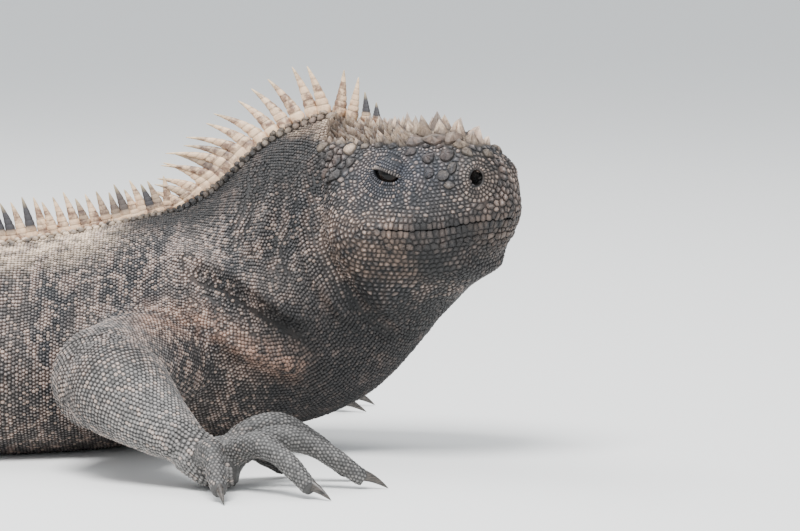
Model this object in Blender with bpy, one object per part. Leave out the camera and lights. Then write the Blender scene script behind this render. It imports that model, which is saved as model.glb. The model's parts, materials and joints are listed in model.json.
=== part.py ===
"""Marine iguana, an adult male at life size, lying on flat ground with its head turned to its right.

+X runs from the hips to the chest, +Y is the animal's left and +Z is up. The origin is on the ground, in the
middle of the flat that the belly rests on. Sizes are in millimetres, and MM turns them into metres.
"""

import math
import random

import bmesh
import bpy
import numpy as np
from mathutils import Vector
from mathutils.bvhtree import BVHTree

MM = 0.001
GAP = 0.3  # clear space between pieces that touch
ROOT_SINK = 2.5  # how deep a spine's or a cone's root lies in the skin
SEED = 7

# The head's own frame: f forwards and u up from the middle between the eyes, l out to either side
HEAD_AT = (217.9, -28.0, 98.6)
HEAD_YAW = -35.0
EYE_RADIUS = 5.6
EYE_SIDE = 17.9
LID_THICKNESS = 1.0
LID_OPENING = (9.6, 4.6)
NOSTRIL_AT = (29.8, 11.2, -0.5)
NOSTRIL_RIM = 4.7
NOSTRIL_HOLE = 2.5
NOSTRIL_TURN = 36.0
EAR_AT = (-22.0, -4.0)
EAR_CUP = (2.8, 2.6, 4.8)
MOUTH_CORNER = 1.0
MOUTH_HEIGHT = -18.4
MOUTH_RISE = 3.6
LIP_RADIUS = 2.0
LIP_DEPTH = 1.1  # of the middle of a lip under the skin

TAIL_LENGTH = 545.0
TAIL_START = -118.0
TAIL_WAVE = 27.0  # degrees that the tail swings to either side of its line
TAIL_CUTS = (0.0, 0.13, 0.27, 0.42, 0.58, 0.76, 1.0)

# Each body section: x, y, height of the widest level, yaw, pitch, half width, then how far it reaches above
# and below that level, the squareness above and below, and how much it narrows upwards
BODY_SECTIONS = (
    (-118, 0.0, 25, 0, 0, 26, 26, 26, 2.0, 2.2, 0.10),
    (-95, 0.0, 25, 0, 0, 35, 33, 28, 2.0, 2.3, 0.15),
    (-55, 0.0, 26, 0, 0, 48, 38, 29, 2.0, 2.5, 0.20),
    (0, 0.0, 27, 0, 0, 57, 41, 30, 2.0, 2.6, 0.24),
    (50, 0.0, 29, 0, 0, 56, 40, 32, 2.0, 2.6, 0.25),
    (90, 0.0, 32, 0, 0, 49, 42, 34, 2.0, 2.5, 0.25),
    (125, 0.0, 38, -1, 2, 42, 43, 36, 2.0, 2.3, 0.22),
    (154, -2.5, 46, -7, 12, 37, 44, 41, 2.0, 2.2, 0.20),
    (180, -9.0, 60, -18, 23, 33, 48, 45, 2.0, 2.1, 0.22),
)
# Each head section: top f and u, bottom f and u, height share of the widest level, half width, squareness
# above and below, and how much it narrows upwards
HEAD_SECTIONS = (
    (-36.0, 18.0, 0.0, -54.5, 0.46, 30.0, 2.1, 2.1, 0.30),
    (-24.0, 19.0, 8.0, -45.0, 0.42, 32.0, 2.3, 2.3, 0.36),
    (-10.0, 18.5, 15.0, -38.5, 0.40, 30.0, 2.5, 2.4, 0.38),
    (2.0, 17.5, 21.5, -35.5, 0.42, 27.0, 2.6, 2.2, 0.36),
    (12.0, 16.0, 26.5, -32.5, 0.44, 23.0, 2.6, 2.1, 0.32),
    (20.0, 13.0, 27.5, -29.5, 0.48, 19.5, 2.6, 2.1, 0.28),
    (26.5, 9.0, 29.8, -26.8, 0.51, 16.6, 2.5, 2.1, 0.22),
    (31.0, 4.5, 32.0, -24.0, 0.53, 13.4, 2.4, 2.1, 0.18),
    (34.3, -1.5, 34.5, -20.5, 0.53, 10.0, 2.2, 2.1, 0.10),
    (36.6, -7.5, 36.4, -15.5, 0.50, 5.2, 2.0, 2.0, 0.0),
)
# Swellings of the head: f, l, u, the reach along f and u, and the height. Those off the middle are paired.
HEAD_BULGES = (
    (-1, 21, 11, 13, 4, 2.2),  # brow
    (-14, 31, -24, 12, 11, 3.0),  # jowl
    (29, 12, 2, 8, 6, 2.0),  # side of the snout
    (12, 0, -36, 10, 8, 2.5),  # pouch under the chin
    (10, 20, -6, 8, 5, -1.6),  # hollow before the eye
    (-2, 24, -10, 9, 3, -1.2),  # hollow below the eye
    (20, 17, -26.5, 15, 2.5, -1.3),  # groove under the jaw
    (14, 13, -31.5, 13, 3, 1.2),  # fold under the groove
    (14, 18, -11, 14, 4, 1.0),  # side of the upper lip
)
# Folds and swellings of the trunk's skin, seen from the side: 1 for the right side or -1 for the left, x and z
# of both ends, the reach and the height. Hollows are negative. The turned head presses the neck's right side
# together.
SKIN_FOLDS = (
    (1, (137, 64), (178, 40), 4.2, 3.0),
    (1, (146, 74), (190, 47), 4.5, 2.6),
    (1, (130, 54), (166, 30), 4.0, 2.4),
    (1, (141, 70), (184, 43), 2.6, -1.6),
    (1, (171, 102), (172, 66), 3.0, -2.0),
    (1, (164, 100), (165, 66), 3.2, 1.5),
    (1, (179, 98), (182, 64), 3.0, 1.5),
    (-1, (150, 84), (172, 44), 5.0, -1.4),
    (1, (112, 66), (118, 50), 15.0, 2.5),
    (-1, (112, 66), (118, 50), 15.0, 2.5),
    (1, (-88, 52), (-70, 44), 14.0, 3.0),
    (-1, (-88, 52), (-70, 44), 14.0, 3.0),
    (1, (80, 50), (20, 34), 6.0, -1.3),
    (-1, (80, 50), (20, 34), 6.0, -1.3),
    (1, (0, 40), (-50, 44), 6.0, -1.2),
    (-1, (0, 40), (-50, 44), 6.0, -1.2),
)
FOLD_DEPTH = 2.4  # of the skin fold where the head meets the neck
FOLD_REACH = 4.0
NAPE_RIDGE = 2.5  # height of the fleshy ridge under the nape's crest

MATERIALS = {
    "hide": ((0.075, 0.072, 0.072), 0.75),
    "hide_pale": ((0.20, 0.19, 0.18), 0.75),
    "eye": ((0.012, 0.014, 0.014), 0.15),
    "claw": ((0.03, 0.028, 0.026), 0.4),
}


# Curves and sections


def smooth_course(rows):
    """(position, knots) of a natural cubic curve through rows whose first three numbers are a point. position
    takes distances along the straight lines between the rows, and gives whole rows."""
    rows = np.array(rows, float)
    knots = np.concatenate([[0], np.cumsum(np.linalg.norm(np.diff(rows[:, :3], axis=0), axis=1))])
    span = np.diff(knots)
    count = len(knots)
    system = np.eye(count)
    right = np.zeros_like(rows)
    for i in range(1, count - 1):
        system[i, i - 1 : i + 2] = span[i - 1], 2 * (span[i - 1] + span[i]), span[i]
        right[i] = 6 * ((rows[i + 1] - rows[i]) / span[i] - (rows[i] - rows[i - 1]) / span[i - 1])
    bend = np.linalg.solve(system, right)

    def position(at):
        at = np.atleast_1d(np.asarray(at, float))
        i = np.clip(np.searchsorted(knots, at) - 1, 0, count - 2)
        h = span[i][:, None]
        a = ((knots[i + 1] - at) / span[i])[:, None]
        b = 1 - a
        curved = ((a**3 - a) * bend[i] + (b**3 - b) * bend[i + 1]) * h * h / 6
        return a * rows[i] + b * rows[i + 1] + curved

    return position, knots


def powered(value, power):
    return np.sign(value) * np.abs(value) ** power


def head_vectors():
    """The head's forward and rightward directions."""
    turn = math.radians(HEAD_YAW)
    return np.array([math.cos(turn), math.sin(turn), 0]), np.array([math.sin(turn), -math.cos(turn), 0])


def head_point(f, right, u):
    forward, aside = head_vectors()
    return np.array(HEAD_AT) + f * forward + right * aside + np.array([0, 0, u])


def head_local(points):
    """(f, rightward, u) of points in the head's own frame."""
    forward, aside = head_vectors()
    away = points - np.array(HEAD_AT)
    return away @ forward, away @ aside, away[..., 2]


def tail_place(share):
    """(x, y, yaw) of the tail's middle line at this share of its length, along a gentle S."""
    steps = np.linspace(0, share, 60)
    swing = np.radians(TAIL_WAVE) * np.sin(2 * math.pi * steps**0.9) * np.minimum(1, steps * 5)
    step = TAIL_LENGTH * share / (len(steps) - 1)
    x = TAIL_START - np.sum(np.cos(swing[1:])) * step
    y = np.sum(np.sin(swing[1:])) * step
    return x, y, -math.degrees(swing[-1])


def tail_section(share):
    x, y, yaw = tail_place(share)
    half_width = 1.0 + 25.0 * (1 - share) ** 2.3
    half_height = 1.8 + 24.2 * (1 - share) ** 0.95
    return (x, y, half_height - 0.6, yaw, 0, half_width, half_height, half_height, 2.0, 2.1, 0.1)


def head_section(top_f, top_u, bottom_f, bottom_u, share, half_width, above, below, narrowing):
    f = bottom_f + (top_f - bottom_f) * share
    u = bottom_u + (top_u - bottom_u) * share
    tall = math.hypot(top_f - bottom_f, top_u - bottom_u)
    pitch = math.degrees(math.atan2(bottom_f - top_f, top_u - bottom_u))
    place = head_point(f, 0, u)
    reach = (tall * (1 - share), tall * share)
    return (*place, HEAD_YAW, pitch, half_width, *reach, above, below, narrowing)


TAIL_SHARES = (1.0, 0.9, 0.78, 0.66, 0.54, 0.42, 0.3, 0.2, 0.1)
TRUNK_ROWS = (
    [tail_section(share) for share in TAIL_SHARES]
    + [tuple(map(float, row)) for row in BODY_SECTIONS]
    + [head_section(*row) for row in HEAD_SECTIONS]
)
trunk_at, TRUNK_KNOTS = smooth_course(TRUNK_ROWS)
BODY_START = TRUNK_KNOTS[len(TAIL_SHARES)]
NECK_START = TRUNK_KNOTS[len(TAIL_SHARES) + 6] + 12.0
HEAD_START = TRUNK_KNOTS[len(TAIL_SHARES) + len(BODY_SECTIONS)]
HEAD_END = TRUNK_KNOTS[-1]


def trunk_rings(along, angles, grow=0.0):
    """Points of the body's surface: one ring for each distance along it. An angle runs from the back, 0, over
    the right side to the belly, pi. grow moves the surface outwards."""
    rows = trunk_at(along)
    yaw, pitch = np.radians(rows[:, 3]), np.radians(rows[:, 4])
    aside = np.stack([np.sin(yaw), -np.cos(yaw), np.zeros_like(yaw)], 1)
    up = np.stack([-np.sin(pitch) * np.cos(yaw), -np.sin(pitch) * np.sin(yaw), np.cos(pitch)], 1)
    sine, cosine = np.sin(angles)[None], np.cos(angles)[None]
    upper = cosine > 0
    power = np.where(upper, rows[:, 8:9], rows[:, 9:10])
    reach = np.where(upper, rows[:, 6:7], rows[:, 7:8]) + grow
    height = powered(cosine, 2 / power)
    width = (rows[:, 5:6] + grow) * powered(sine, 2 / power) * (1 - rows[:, 10:11] * np.maximum(0, height))
    return (
        rows[:, None, :3]
        + aside[:, None] * width[..., None]
        + up[:, None] * (height * reach)[..., None]
    )


def outward(rings, along):
    """The outward direction at each point of the rings, in the plane of its own ring."""
    rows = trunk_at(along)
    yaw, pitch = np.radians(rows[:, 3]), np.radians(rows[:, 4])
    ahead = np.stack([np.cos(pitch) * np.cos(yaw), np.cos(pitch) * np.sin(yaw), np.sin(pitch)], 1)
    around = np.roll(rings, -1, 1) - np.roll(rings, 1, 1)
    normal = np.cross(around, ahead[:, None])
    return normal / np.maximum(np.linalg.norm(normal, axis=2, keepdims=True), 1e-9)


def folded(rings, along):
    """The rings with the folds of the trunk's skin."""
    push = np.zeros(rings.shape[:2])
    aside = np.sin(ring_angles(rings.shape[1]))[None]
    seen = rings[..., [0, 2]]
    for side, start, end, reach, height in SKIN_FOLDS:
        start, way = np.array(start, float), np.array(end, float) - start
        share = np.clip((seen - start) @ way / (way @ way), 0, 1)
        away = np.linalg.norm(seen - start - share[..., None] * way, axis=2)
        push += height * np.exp(-((away / reach) ** 2)) * np.clip(aside * side * 3, 0, 1)
    return rings + outward(rings, along) * push[..., None]


def nape_ridge(rings, along):
    """The rings with the fleshy ridge that carries the nape's crest."""
    share = (along - NECK_START) / (HEAD_START - NECK_START)
    tall = NAPE_RIDGE * np.clip(np.minimum(share * 6, (1.25 - share) * 3), 0, 1)[:, None]
    angles = ring_angles(rings.shape[1])
    off = np.minimum(angles, 2 * math.pi - angles)[None]
    return rings + outward(rings, along) * (tall * np.exp(-((off / 0.16) ** 2)))[..., None]


def head_shaped(rings, along):
    """The rings with the head's swellings and the fold behind it."""
    f, right, u = head_local(rings)
    push = np.zeros(rings.shape[:2])
    for bulge_f, bulge_l, bulge_u, reach_f, reach_u, height in HEAD_BULGES:
        spread = ((f - bulge_f) / reach_f) ** 2 + ((u - bulge_u) / reach_u) ** 2
        sides = ((np.abs(right) - bulge_l) / 9.0) ** 2
        push += height * np.exp(-spread - sides)
    behind = np.maximum(0, along - HEAD_START)[:, None] / FOLD_REACH
    side = np.clip((np.abs(right) - 8) / 14, 0, 1)
    push -= FOLD_DEPTH * np.exp(-(behind**2)) * side
    fade = np.clip((along - HEAD_START) / 6 + 0.5, 0, 1)[:, None]
    return rings + outward(rings, along) * (push * fade)[..., None]


# Meshes and Booleans


def collection(name, hidden=False):
    made = bpy.data.collections.new(name)
    made.hide_render = hidden
    bpy.context.scene.collection.children.link(made)
    return made


def material(name):
    found = bpy.data.materials.get(name)
    if found:
        return found
    colour, roughness = MATERIALS[name]
    made = bpy.data.materials.new(name)
    made.use_nodes = True
    shader = made.node_tree.nodes["Principled BSDF"]
    shader.inputs["Base Color"].default_value = (*colour, 1)
    shader.inputs["Roughness"].default_value = roughness
    made.diffuse_color = (*colour, 1)
    return made


def mesh_object(name, points, faces, where, finish="hide"):
    """An object whose points are given in millimetres."""
    mesh = bpy.data.meshes.new(name)
    mesh.from_pydata([tuple(p) for p in np.asarray(points, float) * MM], [], faces)
    made = bpy.data.objects.new(name, mesh)
    where.objects.link(made)
    shape = bmesh.new()
    shape.from_mesh(mesh)
    bmesh.ops.recalc_face_normals(shape, faces=shape.faces)
    shape.to_mesh(mesh)
    shape.free()
    mesh.materials.append(material(finish))
    return made


def loft(name, rings, where, finish="hide", tip=None, start_tip=None):
    """A closed skin over rings of points, with a fan at each end, drawn to a tip where one is given."""
    rings = np.asarray(rings, float)
    count, sides = rings.shape[:2]
    points = rings.reshape(-1, 3)
    ends = [rings[0].mean(0) if start_tip is None else start_tip, rings[-1].mean(0) if tip is None else tip]
    faces = []
    for i in range(count - 1):
        for j in range(sides):
            k = (j + 1) % sides
            faces.append((i * sides + j, i * sides + k, (i + 1) * sides + k, (i + 1) * sides + j))
    first, last = count * sides, count * sides + 1
    for j in range(sides):
        k = (j + 1) % sides
        faces.append((first, k, j))
        faces.append((last, (count - 1) * sides + j, (count - 1) * sides + k))
    return mesh_object(name, np.vstack([points, ends]), faces, where, finish)


def apply_modifiers(made):
    graph = bpy.context.evaluated_depsgraph_get()
    mesh = bpy.data.meshes.new_from_object(made.evaluated_get(graph))
    made.modifiers.clear()
    made.data = mesh


def keep_largest(made):
    """Leaves only the largest closed surface of the object's mesh."""
    shape = bmesh.new()
    shape.from_mesh(made.data)
    waiting = set(shape.faces)
    bodies = []
    while waiting:
        body, edge = set(), [waiting.pop()]
        while edge:
            face = edge.pop()
            body.add(face)
            for side in face.edges:
                for other in side.link_faces:
                    if other in waiting:
                        waiting.remove(other)
                        edge.append(other)
        bodies.append(body)
    largest = max(bodies, key=lambda body: sum(face.calc_area() for face in body))
    scraps = [face for body in bodies if body is not largest for face in body]
    bmesh.ops.delete(shape, geom=scraps, context="FACES")
    loose = [point for point in shape.verts if not point.link_faces]
    bmesh.ops.delete(shape, geom=loose, context="VERTS")
    shape.to_mesh(made.data)
    shape.free()


def boolean(made, operation, tools, solver="MANIFOLD"):
    """Joins or cuts made with every object of a collection, applies it and removes those objects."""
    modifier = made.modifiers.new(operation.lower(), "BOOLEAN")
    modifier.operation = operation
    modifier.operand_type = "COLLECTION"
    modifier.collection = tools
    modifier.solver = solver
    bpy.context.view_layer.update()
    apply_modifiers(made)
    for tool in list(tools.objects):
        bpy.data.objects.remove(tool)
    bpy.data.collections.remove(tools)
    keep_largest(made)


def surface_of(made):
    """A search tree of the object's surface, in metres."""
    shape = bmesh.new()
    shape.from_mesh(made.data)
    tree = BVHTree.FromBMesh(shape)
    shape.free()
    return tree


def ground_block(where):
    """A slab with its top at the ground, which cuts the flats that the animal rests on."""
    square = ((-1500, -1500), (1500, -1500), (1500, 1500), (-1500, 1500))
    corners = [(x, y, z) for z in (-100, 0) for x, y in square]
    faces = [(0, 1, 2, 3), (4, 5, 6, 7)]
    for i in range(4):
        j = (i + 1) % 4
        faces.append((i, j, j + 4, i + 4))
    return mesh_object("ground", corners, faces, where)


# Spines and cones


def spine(name, foot, up, back, height, length, thickness, lean, where, sides=6, middle=True):
    """A flat, tapered spine. It stands on foot, grows along up, leans and bends towards back."""
    up = np.array(up) / np.linalg.norm(up)
    back = back - up * np.dot(back, up)
    back = back / np.linalg.norm(back)
    side = np.cross(up, back)
    angles = np.arange(sides) * 2 * math.pi / sides
    rings = []
    levels = (-ROOT_SINK, 0.45 * height) if middle else (-ROOT_SINK,)
    for level in levels:
        share = max(0.0, level / height)
        size = (1 - share) ** 0.75
        centre = foot + up * level + back * lean * height * share**1.6
        ring = [
            centre + back * math.cos(a) * length / 2 * size + side * math.sin(a) * thickness / 2 * size
            for a in angles
        ]
        rings.append(ring)
    tip = foot + up * height + back * lean * height
    return loft(name, rings, where, tip=tip)


def crest_spines(name, first, last, pitch, size, where, lean, sides=6, middle=True, lift=0.0):
    """Spines along the back from one distance along the trunk to another. size gives height, length and
    thickness for each distance along it."""
    draw = random.Random(f"{SEED}{name}")
    at = first + pitch(first) / 2
    while at < last:
        top = trunk_rings([at - 1, at, at + 1], np.array([0.0]))[:, 0]
        back = top[0] - top[2]
        yaw, pitch_angle = np.radians(trunk_at(at)[0, 3:5])
        aside = np.array([math.sin(yaw), -math.cos(yaw), 0])
        up = np.cross(back, aside)
        up = up if up[2] > 0 else -up
        up = up / np.linalg.norm(up) + aside * draw.uniform(-0.1, 0.1)
        height, length, thickness = size(at)
        height *= draw.uniform(0.86, 1.12)
        leaning = lean(at) * draw.uniform(0.8, 1.2)
        shape = (height, length, thickness, leaning)
        spine(f"{name}_{at:.0f}", top[1] + up * lift, up, back, *shape, where, sides, middle)
        at += pitch(at) * draw.uniform(0.92, 1.08)


def cone(name, foot, out, radius, height, where, sides=5, turn=0.0):
    """A short pyramid of scale, rooted in the surface at foot."""
    out = Vector(out).normalized()
    across = out.orthogonal().normalized()
    other = out.cross(across)
    foot = Vector(foot)
    ring = []
    for j in range(sides):
        a = turn + 2 * math.pi * j / sides
        spread = radius * (height + ROOT_SINK) / height
        ring.append(foot - out * ROOT_SINK + (across * math.cos(a) + other * math.sin(a)) * spread)
    return loft(name, [ring], where, tip=np.array(foot + out * height))


# Trunk nodes


def ring_angles(sides):
    return np.arange(sides) * 2 * math.pi / sides


def tail_nodes(where):
    ends = [BODY_START * (1 - share) for share in TAIL_CUTS]
    shapes = ((18, 6), (16, 6), (14, 5), (12, 5), (10, 5), (10, 7))
    for number, (fore, aft, (sides, count)) in enumerate(zip(ends, ends[1:], shapes), 1):
        name = f"tail_{number}"
        low = aft + (GAP if aft > 0 else 0.0)
        along = np.linspace(low, fore, count)
        rings = trunk_rings(along, ring_angles(sides))
        rings[..., 2] = np.maximum(rings[..., 2], 0)
        made = loft(name, rings, where)
        spines = collection(f"{name}_spines", hidden=True)

        def size(at):
            share = at / BODY_START
            return 2.2 + 8.0 * share, 3.4 + 1.8 * share, 1.3 + 0.9 * share

        crest_spines(name, low + 3, fore - 3, lambda at: 7.0, size, spines, lambda at: 0.55, 4, False)
        boolean(made, "UNION", spines)


def torso_rings(grow=0.0):
    """The torso's rings. With grow they are that much larger, and run past both ends."""
    along = np.linspace(BODY_START + GAP, NECK_START, 21)
    if grow:
        along = np.concatenate([[BODY_START - 30, BODY_START - 10], along, [NECK_START + 1]])
    rings = folded(trunk_rings(along, ring_angles(28), grow), along)
    rings[..., 2] = np.maximum(rings[..., 2], -grow)
    return rings


def neck_rings(grow=0.0):
    """The neck's rings. With grow they are that much larger, and start before the neck does."""
    along = np.linspace(NECK_START + GAP, HEAD_START, 15)
    if grow:
        along = np.concatenate([[NECK_START - 1], along])
    return nape_ridge(folded(trunk_rings(along, ring_angles(32), grow), along), along)


def torso_node(where):
    made = loft("torso", torso_rings(), where)
    spines = collection("back_spines", hidden=True)

    def size(at):
        share = (at - BODY_START) / (NECK_START - BODY_START)
        return 10.5 + 5.0 * math.sin(math.pi * min(1, share * 0.8 + 0.1)), 4.2, 2.3

    first, last = BODY_START + 2.5, NECK_START - 4
    crest_spines("back", first, last, lambda at: 4.7, size, spines, lambda at: 0.2, 4, False)
    boolean(made, "UNION", spines)
    return made


def nape_share(at):
    return (at - NECK_START) / (HEAD_START - NECK_START)


def neck_node(where):
    made = loft("neck", neck_rings(), where)
    spines = collection("nape_spines", hidden=True)

    def size(at):
        share = min(1, max(0, nape_share(at)))
        return 9.0 + 8.0 * min(1, share * 4.5) - 2.0 * share, 5.2, 3.2

    def lean(at):
        return 0.5 - 0.5 * nape_share(at)

    first, last = NECK_START + 4, HEAD_START - 3
    crest_spines("nape", first, last, lambda at: 4.6, size, spines, lean, lift=NAPE_RIDGE * 0.8)
    boolean(made, "UNION", spines)


# Head, jaw and eyes


def mouth_level(f):
    share = np.clip((f - 16) / 20, 0, 1)
    return MOUTH_HEIGHT + MOUTH_RISE * share * share * (3 - 2 * share)


def side_of_head(surface, f, u, side):
    """The point of the head's surface at f and u, seen from one side."""
    start = head_point(f, side * 60, u) * MM
    place = surface.ray_cast(Vector(start), Vector(head_point(f, 0, u) * MM - start))[0]
    return np.array(place) / MM


def lip_line(surface, offset, count=9):
    """Points just under the head's surface along the mouth, from the left corner round the snout."""
    runs = []
    for side in (-1, 1):
        run = []
        for f in np.linspace(MOUTH_CORNER - 2, 32.5, count):
            place = head_local(side_of_head(surface, f, mouth_level(f) + offset, side))
            run.append(head_point(place[0] - 0.3, place[1] - side * LIP_DEPTH, place[2]))
        runs.append(run)
    front = head_point(35.8 - LIP_DEPTH, 0, mouth_level(35.6) + offset)
    return runs[0] + [front] + runs[1][::-1]


def tube(name, rows, sides, where, finish="hide"):
    """A round, closed tube through rows of x, y, z, half width and half height, with a step at each row."""
    rows = np.array(rows, float)
    along = np.gradient(rows[:, :3], axis=0)
    along /= np.linalg.norm(along, axis=1, keepdims=True)
    aside = np.cross(along, [0, 0, 1.0])
    aside /= np.linalg.norm(aside, axis=1, keepdims=True)
    up = np.cross(aside, along)
    angles = ring_angles(sides)
    rings = (
        rows[:, None, :3]
        + aside[:, None] * (np.sin(angles)[None] * rows[:, 3:4])[..., None]
        + up[:, None] * (np.cos(angles)[None] * rows[:, 4:5])[..., None]
    )
    return loft(name, rings, where, finish)


def ball(name, centre, radii, turn, where, segments=12, rings=8, finish="hide"):
    """A closed ellipsoid in the head's frame: radii along f, l and u, turned outwards by turn degrees."""
    points = []
    for i in range(1, rings):
        level = math.pi * i / rings
        ring = []
        for a in ring_angles(segments):
            local = (
                math.sin(level) * math.cos(a) * radii[0],
                math.cos(level) * radii[1],
                math.sin(level) * math.sin(a) * radii[2],
            )
            ring.append(local)
        points.append(ring)
    points = np.array(points)
    poles = np.array([(0, radii[1], 0), (0, -radii[1], 0)], float)
    angle = math.radians(turn)

    def placed(p):
        f = p[..., 0] * math.cos(angle) + p[..., 1] * math.sin(angle)
        right = -p[..., 0] * math.sin(angle) + p[..., 1] * math.cos(angle)
        return f, right, p[..., 2]

    side = math.copysign(1, centre[1])
    forward, aside = head_vectors()

    def world(p):
        f, right, u = placed(p)
        base = head_point(*centre)
        across = np.multiply.outer(right * side, aside)
        return base + np.multiply.outer(f, forward) + across + np.multiply.outer(u, np.array([0, 0, 1.0]))

    return loft(name, world(points), where, finish, tip=world(poles)[1], start_tip=world(poles)[0])


def prism(name, outline, near, far, turn, centre, where):
    """A closed prism in the head's frame. outline holds points along f and u, and the prism runs from near to
    far outwards, turned forwards by turn degrees."""
    angle = math.radians(turn)
    side = math.copysign(1, centre[1])
    rings = []
    for reach, swell in ((near, 0.8), (far, 1.25)):
        ring = []
        for f, u in outline:
            out_f = f * swell * math.cos(angle) + reach * math.sin(angle)
            out_l = -f * swell * math.sin(angle) + reach * math.cos(angle)
            ring.append(head_point(centre[0] + out_f, centre[1] + side * out_l, centre[2] + u * swell))
        rings.append(ring)
    return loft(name, rings, where)


def almond(width, height, tilt=-0.12, points=10):
    """The outline of the opening between the lids: a flat top and a fuller lower edge."""
    outline = []
    for a in ring_angles(points):
        f = math.cos(a) * width / 2
        u = math.sin(a) * height / 2 * (0.62 if math.sin(a) > 0 else 1.0)
        outline.append((f, u + tilt * f))
    return outline


def crown_cones(surface, where):
    """Pyramid scales on the crown, in staggered rows, larger towards the snout."""
    draw = random.Random(SEED)
    f, row = -26.0, 0
    while f < 29:
        large = np.interp(f, (-26, -8, 12, 29), (2.5, 2.8, 4.3, 3.2))
        half = np.interp(f, (-26, 0, 14, 29), (15, 17, 15, 8))
        lean = max(0.0, (f - 4) / 22)
        count = int(half / large / 1.75)
        for column in range(-count, count + 1):
            at_f = f + draw.uniform(-0.5, 0.5)
            at_l = (column + 0.5 * (row % 2)) * large * 1.75 + draw.uniform(-0.5, 0.5)
            start = Vector(head_point(at_f + lean * 45, at_l * 1.9, 60 - lean * 15) * MM)
            aim = Vector(head_point(at_f, at_l, 8 - lean * 5) * MM)
            place, normal, _, _ = surface.ray_cast(start, aim - start)
            if place is not None:
                tall = large * draw.uniform(0.8, 1.05)
                turn = draw.uniform(0, 6)
                cone(f"crown_{row}_{column}", np.array(place) / MM, normal, large, tall, where, 5, turn)
        f += large * 1.6
        row += 1


def poll_size(at):
    """The crest's last spines stand on the back of the head, and are shorter towards its front."""
    return 14.0 - 0.75 * (at - HEAD_START), 4.6, 3.0


def head_nodes(where):
    snout = HEAD_END - np.array([9, 6, 3, 0.0])
    along = np.concatenate([np.linspace(HEAD_START + GAP, HEAD_END - 12, 13), snout])
    rings = head_shaped(trunk_rings(along, ring_angles(36)), along)
    tip = head_point(37.5, 0, -11.5)
    made = loft("head", rings, where, tip=tip)
    surface = surface_of(made)
    extras = collection("head_extras", hidden=True)
    crown_cones(surface, extras)
    poll = (HEAD_START + 1.5, HEAD_START + 9)
    crest_spines("poll", *poll, lambda at: 5.0, poll_size, extras, lambda at: 0.1, 4, False)
    for offset in (LIP_RADIUS, -LIP_RADIUS):
        line = lip_line(surface, offset)
        rows = []
        for i, point in enumerate(line):
            share = min(1.0, min(i, len(line) - 1 - i) / 3)
            rows.append((*point, LIP_RADIUS * (0.5 + 0.5 * share), LIP_RADIUS * (0.5 + 0.5 * share)))
        tube(f"lip_{offset:.0f}", rows, 6, extras)
    for side in (-1, 1):
        eye = (0, side * EYE_SIDE, 0)
        shell = EYE_RADIUS + LID_THICKNESS
        ball(f"lids_{side}", eye, (shell, shell, shell), 0, extras, 14, 9)
        nostril = (NOSTRIL_AT[0], side * NOSTRIL_AT[1], NOSTRIL_AT[2])
        outline = [(math.cos(a) * NOSTRIL_RIM, math.sin(a) * NOSTRIL_RIM) for a in ring_angles(10)]
        rim = prism(f"nostril_rim_{side}", outline, -4.0, 2.4, NOSTRIL_TURN, nostril, extras)
        taper_rim(rim, nostril, side)
    boolean(made, "UNION", extras)
    cuts = collection("head_cuts", hidden=True)
    for side in (-1, 1):
        eye = (0, side * EYE_SIDE, 0)
        socket = EYE_RADIUS + GAP
        ball(f"socket_{side}", eye, (socket, socket, socket), 0, cuts, 14, 9)
        prism(f"lid_gap_{side}", almond(*LID_OPENING), 2.5, 9.0, 0, eye, cuts)
        nostril = (NOSTRIL_AT[0], side * NOSTRIL_AT[1], NOSTRIL_AT[2])
        hole = [(math.cos(a) * NOSTRIL_HOLE, math.sin(a) * NOSTRIL_HOLE * 1.15) for a in ring_angles(8)]
        prism(f"nostril_hole_{side}", hole, -2.5, 5.0, NOSTRIL_TURN, nostril, cuts)
        ear = head_local(side_of_head(surface, *EAR_AT, side))
        ball(f"ear_{side}", ear, EAR_CUP, -8, cuts, 10, 6)
        ball(f"eye_{'right' if side > 0 else 'left'}", eye, (EYE_RADIUS,) * 3, 0, where, 14, 9, "eye")
    boolean(made, "DIFFERENCE", cuts)
    part_jaw(made, where)


def taper_rim(rim, nostril, side):
    """Narrows the outer end of a nostril's rim."""
    out = np.array([math.sin(math.radians(NOSTRIL_TURN)), math.cos(math.radians(NOSTRIL_TURN))])
    forward, aside = head_vectors()
    axis = Vector(forward * out[0] + aside * out[1] * side)
    centre = Vector(head_point(*nostril) * MM)
    for point in rim.data.vertices:
        away = point.co - centre
        along = away.dot(axis)
        if along > 0:
            flat = away - axis * along
            point.co = centre + axis * along + flat * 0.62


def jaw_cutter(name, where, shift):
    """A block below the mouth line and before a slope behind its corner. shift moves its faces out or in."""
    outline = []
    for f in np.linspace(MOUTH_CORNER, 48, 9):
        outline.append((f - shift, mouth_level(f) + shift))
    outline += [(48, -60), (MOUTH_CORNER + 16 - shift, -60)]
    rings = [[head_point(f, side, u) for f, u in outline] for side in (-60, 60)]
    return loft(name, rings, where)


def part_jaw(head, where):
    """Parts the lower jaw from the head along the mouth line, with a thin cut between them."""
    jaw = head.copy()
    jaw.data = head.data.copy()
    jaw.name = "lower_jaw"
    where.objects.link(jaw)
    keep = collection("jaw_keep", hidden=True)
    jaw_cutter("jaw_block", keep, 0.0)
    boolean(jaw, "INTERSECT", keep)
    cut = collection("jaw_cut", hidden=True)
    jaw_cutter("jaw_space", cut, GAP)
    boolean(head, "DIFFERENCE", cut)


# Limbs

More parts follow.
